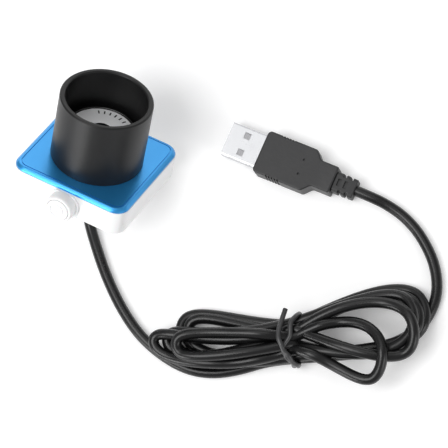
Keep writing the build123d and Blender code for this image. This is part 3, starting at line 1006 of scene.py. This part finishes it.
    def build(self, shop: Workshop, on_it: Sequence["bpy.types.Object | str"]) -> None:
        """Args:
            shop: the frame, places and paints.
            on_it: the plug's pieces and the tie; not used.
        """
        route = [(x * MM, y * MM, z * MM) for x, y, z in self.route()]
        piece = Bench.line("lead", route, self.diameter / 2 * MM, steps=5, roundness=4)
        piece.data.materials.append(shop.paints["lead_jacket"])
        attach(piece, "root")
        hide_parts("cable_lead", "cable_hank", "cable_tail")
        log.info("lead of %d points", len(route))


# ---------------------------------------------------------------- studio
@dataclass(frozen=True)
class Lamp:
    """A soft square light.

    Attributes:
        name: what it is for.
        spot: where it hangs, metres.
        target: what it is turned to, metres.
        size: its two sides, metres.
        power: in watts.
    """

    name: str
    spot: Point
    target: Point
    size: tuple[float, float]
    power: float


@dataclass
class Studio:
    """The floor, the lights and the camera that looks at it all.

    Attributes:
        target: the point that the camera is turned to, metres.
        distance: from that point to the camera, metres.
        elevation: of the camera above the table, degrees.
        heading: of the camera's look over the table, from +X, degrees.
        roll: of the camera about its look, degrees.
        lens: focal length on a sensor of that width, mm.
        sensor: the sensor's width, mm.
        room_light: strength of the even light from all round.
        floor_glow: light that the floor gives off, so that it stays white.
        lamps: the lights.
    """

    target: Point = (0.044917, -0.00156, 0.0)
    distance: float = 0.96882
    elevation: float = 75.005
    heading: float = 156.25
    roll: float = -40.838
    lens: float = 227.6
    sensor: float = 36.0
    room_light: float = 0.4
    floor_glow: float = 0.16
    lamps: tuple[Lamp, ...] = (
        Lamp("key", (-0.36, -0.92, 0.21), (0.0, 0.0, 0.02), (0.5, 0.3), 3.7),
        Lamp("top", (-0.3, -0.43, 1.2), (0.02, 0.0, 0.0), (0.75, 0.75), 9.5),
        Lamp("sky", (-0.2, 0.52, 1.2), (0.04, 0.0, 0.0), (1.0, 0.9), 3.0),
        Lamp("rear", (-0.45, 1.0, 0.25), (0.0, 0.0, 0.02), (0.8, 0.45), 1.6),
        Lamp("side", (0.95, -0.1, 0.35), (0.05, 0.0, 0.0), (0.4, 0.5), 2.0),
    )

    def build(self) -> None:
        """Lay the floor, hang the lights and set up the camera."""
        self.lay_floor()
        self.light_room()
        for lamp in self.lamps:
            self.hang(lamp)
        self.point_camera()

    def lay_floor(self) -> None:
        """A wide pale floor, which glows a little so that it stays white."""
        Bench.clear()
        bpy.ops.mesh.primitive_plane_add(size=12, location=(0, 0, 0))
        floor = Bench.named("floor")
        made = Recipe("floor_paper")
        tooth = made.noise(300, detail=4)
        paper = made.finish(
            Base_Color=made.mix(tooth, (0.93, 0.93, 0.93), (0.91, 0.91, 0.915)),
            Roughness=0.9,
            Emission_Color=(1.0, 1.0, 1.0),
            Emission_Strength=self.floor_glow,
            Normal=made.bump(tooth, 0.02),
        )
        floor.data.materials.append(paper)

    def light_room(self) -> None:
        """A bright even room."""
        room = bpy.data.worlds.new("room")
        bpy.context.scene.world = room
        room.use_nodes = True
        glow = room.node_tree.nodes["Background"]
        glow.inputs[0].default_value = (1, 1, 1, 1)
        glow.inputs[1].default_value = self.room_light
        bpy.context.scene.view_settings.view_transform = "Standard"

    def hang(self, lamp: Lamp) -> None:
        """Hang one light, turned to its target."""
        glow = bpy.data.lights.new(lamp.name, "AREA")
        glow.shape, glow.size, glow.size_y = "RECTANGLE", *lamp.size
        glow.energy = lamp.power
        holder = bpy.data.objects.new(lamp.name, glow)
        bpy.context.scene.collection.objects.link(holder)
        look = Vector(lamp.target) - Vector(lamp.spot)
        holder.location = lamp.spot
        holder.rotation_euler = look.to_track_quat("-Z", "Y").to_euler()

    def point_camera(self) -> None:
        """Set up the camera at its angle."""
        rise, way, roll = radians(self.elevation), radians(self.heading), radians(self.roll)
        look = Vector((cos(rise) * cos(way), cos(rise) * sin(way), -sin(rise)))
        level = look.cross(Vector((0, 0, 1))).normalized()
        right = level * cos(roll) + level.cross(look) * sin(roll)
        eye = bpy.data.cameras.new("view")
        eye.lens, eye.sensor_width = self.lens, self.sensor
        eye.clip_start, eye.clip_end = 0.01, 50
        holder = bpy.data.objects.new("view", eye)
        bpy.context.scene.collection.objects.link(holder)
        turn = Matrix((right, right.cross(look), -look)).transposed().to_4x4()
        holder.matrix_world = Matrix.Translation(Vector(self.target) - look * self.distance) @ turn
        bpy.context.scene.camera = holder


# ---------------------------------------------------------------- camera
@dataclass
class Nosepiece:
    """The 1.25 inch barrel that unscrews from the front plate, in mm.

    Attributes:
        mount_height: of the record's barrel mount above the plate's face.
        radius: outside.
        length: from the plate's face to the rim.
        bore: radius inside.
        chamfer: at the rim.
        spigot: radius of the end that goes into the plate.
        throat: radius of the opening through the spigot.
        seat: height where the bore narrows to the throat.
    """

    mount_height: ClassVar[float] = 12.5
    radius: float = 15.875
    length: float = 25.1
    bore: float = 14.0
    chamfer: float = 0.4
    spigot: float = 14.45
    throat: float = 13.2
    seat: float = 0.7

    def build(self, shop: Workshop) -> None:
        """Turn the barrel, with softened edges."""
        tip = self.length - self.chamfer
        tube = Bench.turned(
            "barrel",
            [
                (self.throat, -2.5),
                (self.spigot, -2.5),
                (self.spigot, 0),
                (self.radius - 0.15, 0),
                (self.radius, 0.15),
                (self.radius, 6),
                (self.radius, 12),
                (self.radius, 18),
                (self.radius, tip),
                (self.radius - self.chamfer, self.length),
                (self.bore + self.chamfer, self.length),
                (self.bore, tip),
                (self.bore, 16),
                (self.bore, 8),
                (self.bore, self.seat + 0.8),
                (self.throat, self.seat),
            ],
            sides=160,
        )
        Bench.soften(tube, 0.1, 2, angle=20)
        Bench.smooth(tube)
        shop.dress(tube, shop.camera, "black_barrel", "nosepiece", ["nosepiece_tube"])


@dataclass
class FrontPlate:
    """The blue plate that closes the housing, with its bevel and fine groove, in mm.

    Attributes:
        half: half of its side.
        corner: radius of its corners.
        edge: thickness of its rim.
        rounding: the rim's (inset, rise) steps, from its side to its face.
        groove: depth of the groove inside the rim.
        groove_wall: slope of each of the groove's walls.
        groove_width: of the groove's floor.
        depth: of the plate with its step into the housing.
        step_half: half of that step's side.
        bore: radius of the opening for the barrel.
        recess: radius of the seat round it.
    """

    half: float = 21.3
    corner: float = 4.8
    edge: float = 1.5
    rounding: tuple[tuple[float, float], ...] = (
        (0.06, 0.14), (0.62, 0.6), (0.2, 0.12), (0.32, 0.07), (0.43, 0.02),
    )
    groove: float = 0.3
    groove_wall: float = 0.03
    groove_width: float = 0.3
    depth: float = 2.6
    step_half: float = 19.8
    bore: float = 14.5
    recess: float = 15.5

    def build(self, shop: Workshop) -> None:
        """Raise the plate from its outline, round its rim, groove it and bore it."""
        plate = Bench.sheet("front_plate_shell", (self.half, self.half), self.corner, -self.edge)
        Bench.rise(self.edge - sum(rise for _, rise in self.rounding))
        for inset, rise in self.rounding:
            Bench.step(inset, rise)
        Bench.step(self.groove_wall, -self.groove)
        Bench.step(self.groove_width)
        Bench.step(self.groove_wall, self.groove)
        Bench.close(plate)
        Bench.edit(plate)
        Bench.pick_faces(plate, lambda spot, way: abs(spot.z + self.edge) < 0.01 and abs(way.z) > 0.9)
        Bench.step(self.half - self.step_half)
        Bench.rise(self.edge - self.depth)
        Bench.outward()
        Bench.combine(
            plate,
            [
                Bench.drum("bore", self.bore, (0, 0, -self.depth / 2), 8, Side.TOP, 128),
                Bench.drum("seat", self.recess, (0, 0, 0.6), 2, Side.TOP, 128),
            ],
        )
        Bench.smooth(plate, 40)
        shop.dress(plate, shop.camera, "blue_plate", "root", ["front_plate"])


@dataclass
class Housing:
    """The white rear shell, its four screws and the lead's strain relief, in mm.

    Attributes:
        half: half of its side.
        corner: radius of its corners.
        top: height of its rim.
        back: height of its back face.
        wall: thickness.
        screw_spread: from the middle to a screw, along each side.
        pad: radius of the button's boss.
        pad_depth: height of the boss's middle.
        ribs: grooves round the strain relief.
        rib_pitch: from one of those to the next.
        cone: radius of the strain relief where it leaves the housing.
    """

    half: float = 21.5
    corner: float = 5.0
    top: float = -1.5
    back: float = -10.7
    wall: float = 1.6
    screw_spread: float = 16.2
    pad: float = 5.8
    pad_depth: float = -6.3
    ribs: int = 3
    rib_pitch: float = 1.7
    cone: float = 3.6

    def build(self, shop: Workshop) -> None:
        """Raise the shell, then fit its screws and its strain relief."""
        self.build_shell(shop)
        self.build_screws(shop)
        self.build_relief(shop)

    def corners(self) -> list[tuple[float, float]]:
        """Where the four screws are."""
        spread = self.screw_spread
        return [(x, y) for x in (-spread, spread) for y in (-spread, spread)]

    def build_shell(self, shop: Workshop) -> None:
        """The open box, its button pad, its holes and its softened edges."""
        shell = Bench.sheet("rear_shell", (self.half, self.half), self.corner, self.back)
        Bench.rise(self.top - self.back)
        Bench.step(0.12, 0.0)
        Bench.step(self.wall - 0.12)
        Bench.rise(self.back + self.wall - self.top)
        Bench.close(shell)
        Bench.edit(shell)
        Bench.pick_edges(
            shell,
            lambda a, b: abs(a.z - self.back) < 0.01 and abs(b.z - self.back) < 0.01,
        )
        bpy.ops.mesh.bevel(offset=0.8, segments=5, affect="EDGES")
        Bench.outward()
        boss = Bench.drum("pad", self.pad, (0, -self.half + 0.8, self.pad_depth), 3.2, Side.BACK, 96)
        Bench.combine(boss, [Bench.block("plate_edge", (20, 20, 4), (0, -self.half, self.top + 2))])
        Bench.combine(shell, [boss], "UNION")
        holes = [Bench.drum("head", 2.4, (x, y, self.back), 4.0, Side.TOP) for x, y in self.corners()]
        holes.append(Bench.drum("lead_hole", 3.1, (0, 0, self.back), 6.0, Side.TOP))
        holes.append(Bench.drum("spring_pocket", 3.2, (0, -self.half, self.pad_depth), 1.6, Side.BACK))
        holes.append(Bench.drum("stem_hole", 1.8, (0, -self.half, self.pad_depth), 8.0, Side.BACK))
        Bench.combine(shell, holes)
        Bench.soften(shell, 0.18, 2, angle=40)
        Bench.smooth(shell, 24)
        shop.dress(shell, shop.camera, "white_shell", "root", ["rear_housing"])

    def build_screws(self, shop: Workshop) -> None:
        """Four pan-head screws, one modelled and copied."""
        face = self.back + 0.2
        screw = Bench.turned(
            "back_screws",
            [
                (0, face), (1.5, face), (1.95, face + 0.22), (2.2, face + 0.7),
                (2.2, face + 1.8), (1.2, face + 1.8), (1.2, -3.0), (0, -3.0),
            ],
            sides=48,
        )
        Bench.combine(
            screw,
            [
                Bench.block("slot", (2.7, 0.6, 1.8), (0, 0, face)),
                Bench.block("slot", (0.6, 2.7, 1.8), (0, 0, face)),
            ],
        )
        Bench.soften(screw, 0.06, 2)
        Bench.smooth(screw)
        turns = [
            Matrix.Translation((x, y, 0)) @ Matrix.Rotation(0.7 * x + 0.3 * y, 4, "Z")
            for x, y in self.corners()
        ]
        screws = Bench.copies(screw, turns)
        shop.dress(screws, shop.camera, "screw_steel", "root", ["case_screws"])

    def build_relief(self, shop: Workshop) -> None:
        """The ribbed rubber cone that the lead leaves through."""
        base = self.back
        profile = [(0, base + 2.7), (4.2, base + 2.7), (4.2, base + 1.6), (3.1, base + 1.6), (3.1, base)]
        profile += [(self.cone, base), (self.cone, base - 1.2)]
        for rib in range(self.ribs):
            top = base - 2.4 - self.rib_pitch * rib
            skin = self.cone - 0.9 * (1.2 + self.rib_pitch * rib) / 6.8
            profile += [(skin, top), (2.35, top - 0.08), (2.35, top - 0.52), (skin - 0.08, top - 0.6)]
        profile += [(2.75, base - 7.8), (2.6, base - 8.0), (0, base - 8.0)]
        cone = Bench.turned("lead_relief", profile, sides=72)
        Bench.soften(cone, 0.12, 2, angle=30)
        Bench.smooth(cone)
        shop.dress(cone, shop.camera, "relief_rubber", "root", ["strain_relief"])


@dataclass
class SnapButton:
    """The round button on the side wall, in its bezel, in mm.

    Attributes:
        depth: of its middle below the plate's face.
        wall: from the camera's middle to the side wall.
        bezel: radius of the bezel.
        bore: radius inside the bezel.
        cap: radius of the button's face.
        travel: how far it goes in; not used.
        spring_radius: of the return spring's coil.
        spring_pitch: from one turn to the next.
        spring_seat: height of its lowest turn.
        spring_top: height of its highest turn.
        spring_wire: radius of its wire.
        spring_points: control points in a turn.
    """

    depth: float = 6.3
    wall: float = 21.5
    bezel: float = 5.1
    bore: float = 4.05
    cap: float = 4.0
    travel: float = 1.0
    spring_radius: float = 2.45
    spring_pitch: float = 0.85
    spring_seat: float = -0.58
    spring_top: float = 2.46
    spring_wire: float = 0.22
    spring_points: int = 12

    def build(self, shop: Workshop) -> None:
        """Turn the bezel and the cap."""
        side = Matrix(((1, 0, 0, 0), (0, 0, -1, -self.wall), (0, 1, 0, -self.depth), (0, 0, 0, 1)))
        where = shop.camera @ side
        ring = Bench.turned(
            "button_ring",
            [
                (3.2, 0.8), (self.bezel - 0.1, 0.8), (self.bezel, 0.95), (self.bezel, 3.6),
                (self.bezel - 0.1, 4.15), (self.bezel - 0.4, 4.6), (self.bore + 0.15, 4.6),
                (self.bore, 4.45), (self.bore, 1.6), (3.2, 1.6),
            ],
            sides=96,
        )
        Bench.soften(ring, 0.12, 3, angle=20)
        Bench.smooth(ring)
        shop.dress(ring, where, "white_shell", "root", ["button_bezel"])
        cap = Bench.turned(
            "button_face",
            [
                (0, -2.55), (1.5, -2.55), (1.5, -2.15), (1.3, -2.15), (1.3, -1.75), (1.6, -1.75), (1.6, 2.7),
                (self.cap, 2.7), (self.cap, 4.5), (self.cap - 0.14, 4.86), (self.cap - 0.5, 5.0),
                (2.7, 5.0), (2.6, 4.7), (2.2, 4.7), (2.1, 5.0), (0.5, 5.0), (0.4, 4.7), (0, 4.7),
            ],
            sides=96,
        )
        Bench.soften(cap, 0.07, 2, angle=24)
        Bench.smooth(cap)
        shop.dress(cap, where, "white_button", "button", ["button_cap"])
        self.build_spring(shop, where)

    def build_spring(self, shop: Workshop, where: Matrix) -> None:
        """The return spring under the cap."""
        height = self.spring_top - self.spring_seat
        steps = round(self.spring_points * height / self.spring_pitch)
        line = []
        for step in range(steps + 1):
            turn = tau * step / self.spring_points
            across = self.spring_radius * cos(turn), self.spring_radius * sin(turn)
            line.append((*across, self.spring_seat + height / steps * step))
        coil = Bench.wire("return_spring", line, self.spring_wire)
        Bench.smooth(coil, 60)
        shop.dress(coil, where, "spring_steel", "root", ["button_spring"])
        seat = where @ Vector((0, 0, self.spring_seat - self.spring_wire))
        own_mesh(coil)


@dataclass
class Window:
    """What shows down the barrel: the silver disc, its ring and printed marks, in mm.

    Attributes:
        top: height of the disc's underside.
        inner: radius of the disc's hole.
        outer: radius of the disc.
        marks: how many marks it carries.
        mark_reach: from the middle to a mark.
        mark_first: place of the first mark, degrees.
        mark_gap: from one mark to the next, degrees.
    """

    top: float = 11.0
    inner: float = 3.9
    outer: float = 11.1
    marks: int = 6
    mark_reach: float = 9.2
    mark_first: float = -28.0
    mark_gap: float = 12.4

    def build(self, shop: Workshop) -> None:
        """Turn the disc and its ring, and lay the marks on it."""
        disc = Bench.turned(
            "disc",
            [(self.inner, self.top), (self.outer, self.top), (self.outer, self.top + 0.3),
             (self.outer - 0.1, self.top + 0.4), (self.inner + 0.5, self.top + 0.4),
             (self.inner, self.top + 0.2)],
        )
        Bench.soften(disc, 0.03, 2, angle=24)
        Bench.smooth(disc)
        shop.dress(disc, shop.camera, "silver_disc", "root", ["face_disc"])
        ring = Bench.turned(
            "disc_edge",
            [(11.4, self.top), (12.4, self.top), (12.4, self.top + 0.5), (12.25, self.top + 0.6),
             (11.6, self.top + 0.6), (11.4, self.top + 0.45)],
        )
        Bench.soften(ring, 0.05, 2, angle=24)
        Bench.smooth(ring)
        shop.dress(ring, shop.camera, "ring_steel", "root", ["disc_ring"])
        bar = Bench.block("disc_marks", (0.5, 1.5, 0.04), (0, 0, self.top + 0.41), 0.01)
        moves = []
        for mark in range(self.marks):
            turn = Matrix.Rotation(radians(self.mark_first + self.mark_gap * mark), 4, "Z")
            moves.append(turn @ Matrix.Translation((0, self.mark_reach, 0)))
        shop.dress(Bench.copies(bar, moves), shop.camera, "black_moulding")


# ---------------------------------------------------------------- plug
@dataclass
class Plug:
    """The USB-A plug: its steel shell, its moulded grip and its relief, in mm.

    Attributes:
        width: of the shell.
        height: of the shell.
        sheet: thickness of its steel.
        shell_length: of the shell that shows.
        latch: from the middle to each latch window.
        latch_place: from the tip to the windows.
        grip_length: of the moulded grip.
        grip_width: before its shoulder.
        grip_height: of the grip.
        neck: width of the grip behind its shoulder.
        shoulder: where the shoulder starts and stops along the grip.
    """

    width: float = 12.0
    height: float = 4.5
    sheet: float = 0.3
    shell_length: float = 12.8
    latch: float = 3.05
    latch_place: float = 6.3
    grip_length: float = 27.5
    grip_width: float = 15.3
    grip_height: float = 8.0
    neck: float = 9.6
    shoulder: tuple[float, float] = (18.3, 20.9)

    def build(self, shop: Workshop) -> list["bpy.types.Object | str"]:
        """Make the plug's pieces, and list them with its CAD nodes."""
        shell = self.build_shell(shop)
        grip = self.build_grip(shop)
        relief = self.build_relief(shop)
        return [shell, grip, relief, "plug_tongue", "plug_contacts"]

    def upright(self) -> Matrix:
        """Turns a piece drawn up z to run along the plug, with its x across it."""
        return Matrix(((0, 0, 1, 0), (1, 0, 0, 0), (0, 1, 0, 0), (0, 0, 0, 1)))

    def build_shell(self, shop: Workshop) -> bpy.types.Object:
        """The folded steel shell with its latch windows, seam and lead-in."""
        half = (self.width / 2, self.height / 2)
        shell = Bench.sheet("usb_shell", half, 0.6, self.shell_length + 3)
        Bench.pick_faces(shell, lambda spot, way: True)
        Bench.rise(-self.shell_length - 3)
        Bench.step(0.08, 0.0)
        Bench.step(self.sheet - 0.08)
        Bench.rise(self.shell_length + 1)
        Bench.close(shell)
        tools = []
        for side in (-self.latch, self.latch):
            tools.append(Bench.block("latch", (2.3, 8, 2.3), (side, 0, self.latch_place), 0.12))
        tools.append(Bench.block("seam", (0.12, 1.0, 12.0), (0, -self.height / 2, 6.0)))
        Bench.combine(shell, tools)
        Bench.soften(shell, 0.06, 2, angle=30)
        Bench.combine(shell, [self.tab_mark()], "UNION")
        Bench.smooth(shell)
        self.build_carrier(shop)
        return shop.dress(shell, shop.plug @ self.upright(), "plug_steel", "root", ["plug_shell"])

    def tab_mark(self) -> bpy.types.Object:
        """The D-shaped tab that is pressed up in the middle of the shell's top."""
        tab = Bench.sheet("tab", (1.25, 0.6), 0.5, 0.0)
        Bench.rise(0.4)
        Bench.step(0.22, 0.0)
        Bench.rise(-0.08)
        Bench.close(tab)
        place = Matrix.Translation((0.25, self.height / 2 - 0.32, 9.2)) @ Matrix.Rotation(-pi / 2, 4, "X")
        tab.data.transform(place)
        return tab

    def build_carrier(self, shop: Workshop) -> None:
        """The plastic carrier's two ramps, seen grey through the latch windows."""
        ramp = Bench.block("plug_carrier", (2.9, 0.3, 3.0), (0, 0, 0), 0.05)
        moves = []
        for side in (-self.latch, self.latch):
            place = Matrix.Translation((side, self.height / 2 - 0.75, self.latch_place))
            moves.append(place @ Matrix.Rotation(radians(10), 4, "X"))
        ramps = Bench.copies(ramp, moves)
        shop.dress(ramps, shop.plug @ self.upright(), "screw_steel")

    def build_grip(self, shop: Workshop) -> bpy.types.Object:
        """The grip: straight, then a shoulder down to its neck, with side slots."""
        start, stop = self.shoulder
        low = -self.grip_height / 2
        Bench.clear()
        bpy.ops.mesh.primitive_plane_add(size=1, location=(self.shell_length + start / 2, 0, low))
        grip = Bench.named("plug_grip")
        grip.scale = (start, self.grip_width, 1)
        bpy.ops.object.transform_apply(location=True, rotation=False, scale=True)
        Bench.edit(grip)
        end = self.shell_length + start - 0.01
        Bench.pick_edges(grip, lambda a, b: min(a.x, b.x) > end)
        for advance, grow in ((stop - start, self.neck / self.grip_width), (self.grip_length - stop, 1)):
            bpy.ops.mesh.extrude_edges_move(TRANSFORM_OT_translate={"value": (advance, 0, 0)})
            bpy.ops.transform.resize(value=(1, grow, 1), center_override=(0, 0, 0))
        bpy.ops.mesh.select_mode(type="FACE")
        bpy.ops.mesh.select_all(action="SELECT")
        bpy.ops.mesh.dissolve_faces()
        Bench.pick_edges(grip, lambda a, b: max(a.x, b.x) < self.shell_length + 0.01)
        bpy.ops.mesh.bevel(affect="VERTICES", offset=1.5, segments=8)
        Bench.pick_edges(grip, lambda a, b: min(a.x, b.x) > end)
        bpy.ops.mesh.bevel(affect="VERTICES", offset=0.6, segments=6)
        bpy.ops.mesh.select_mode(type="FACE")
        bpy.ops.mesh.select_all(action="SELECT")
        Bench.rise(self.grip_height)
        Bench.close(grip)
        Bench.soften(grip, 0.85, 5, angle=60)
        tools = []
        for rib in range(5):
            for side in (-1, 1):
                place = (self.shell_length + 5.4 + 1.05 * rib, side * self.grip_width / 2, 0)
                tools.append(Bench.block("slot", (0.55, 1.3, 9.0), place, 0.12))
        for side in (-2.6, 2.6):
            tools.append(Bench.drum("mark", 0.48, (28.2, side, self.grip_height / 2), 1.2, Side.TOP, 24))
        mouth = (self.shell_length + 0.25, 0, 0)
        tools.append(Bench.block("mouth", (1.5, self.width + 0.1, self.height + 0.1), mouth))
        Bench.combine(grip, tools)
        Bench.smooth(grip, 30)
        return shop.dress(grip, shop.plug, "plug_moulding", "root", ["plug_overmold"])

    def build_relief(self, shop: Workshop) -> bpy.types.Object:
        """The slotted relief behind the grip."""
        base = self.shell_length + self.grip_length
        relief = Bench.sheet("plug_boot", (3.55, 3.0), 1.1, base)
        Bench.rise(4.0)
        Bench.rise(3.7)
        bpy.ops.transform.resize(value=(0.95, 0.93, 1), center_override=(0, 0, 0))
        Bench.close(relief)
        Bench.soften(relief, 0.3, 3, angle=50)
        tools = []
        for row in (3.0, 5.4):
            for side in (-1, 1):
                tools.append(Bench.block("slot", (1.9, 8.0, 1.25), (3.2 * side, 0, base + row), 0.15))
                tools.append(Bench.block("slot", (2.6, 1.4, 1.25), (0, 3.0 * side, base + row - 1.2), 0.15))
        Bench.combine(relief, tools)
        Bench.smooth(relief, 35)
        return shop.dress(relief, shop.plug @ self.upright(), "relief_rubber", "root", ["plug_relief"])


# ---------------------------------------------------------------- tie
@dataclass
class Tie:
    """The coated wire that is wound twice round the hank's waist and twisted.

    Its own frame has x across the hank to the rear, y up and z along the hank.
    """

    radius: float = 0.85
    line: tuple[Point, ...] = (
        (9.9, 10.2, -1.1),
        (6.6, 11.4, -2.3),
        (3.0, 12.6, -3.6),
        (0.0, 13.1, -4.1),
        (-2.5, 13.0, -3.1),
        (-4.6, 11.9, -2.6),
        (-6.4, 11.6, -0.9),
        (-7.8, 9.6, -0.9),
        (-8.9, 7.2, 0.9),
        (-8.7, 3.4, 0.8),
        (-7.6, 0.7, 0.5),
        (0.0, 0.65, 1.0),
        (7.6, 0.7, 2.0),
        (8.9, 3.4, 2.8),
        (8.4, 7.0, 2.9),
        (6.9, 10.2, 1.8),
        (5.0, 11.7, 0.4),
        (2.6, 11.8, 0.1),
        (0.4, 11.7, 0.0),
        (-1.6, 11.4, -1.8),
        (-3.6, 11.6, -3.3),
        (-5.4, 11.3, -2.2),
        (-6.6, 10.6, -2.0),
        (-8.3, 9.0, 0.1),
        (-8.7, 6.6, -0.4),
        (-8.6, 3.4, -0.6),
        (-7.4, 0.8, -0.6),
        (-3.0, 0.65, -0.6),
    )

    def build(self, shop: Workshop, lead: Lead) -> bpy.types.Object:
        """Wind the wire round the waist."""
        way = radians(lead.lean)
        across = Vector((-sin(way), cos(way), 0))
        along = Vector((cos(way), sin(way), 0))
        where = shop.placed(Vector((*lead.waist, 0)) * MM, across, along)
        tie = Bench.wire("wire_tie", self.line, self.radius)
        Bench.smooth(tie, 60)
        return shop.dress(tie, where, "tie_plastic", "root", ["twist_tie"])


# ---------------------------------------------------------------- main
def paint_nodes(shop: Workshop) -> None:
    """Give every CAD node that shows the paint of its slot."""
    for part in shop.frame["record"]["subparts"]:
        node = shop.frame["nodes"][part["node"]]
        node.data.materials.clear()
        node.data.materials.append(shop.paints[part["material_slot"]])


def main() -> None:
    """Build the studio, then the lead and its plug, then the camera."""
    logging.basicConfig(level=logging.INFO, format="%(name)s: %(message)s")
    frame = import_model()
    shop = Workshop(frame)
    paint_nodes(shop)
    Studio().build()
    lead = Lead()
    tie = Tie().build(shop, lead)
    lead.build(shop, [*Plug().build(shop), tie])
    Nosepiece().build(shop)
    FrontPlate().build(shop)
    Housing().build(shop)
    SnapButton().build(shop)
    Window().build(shop)
    Bench.clear()


if __name__ == "__main__":
    main()
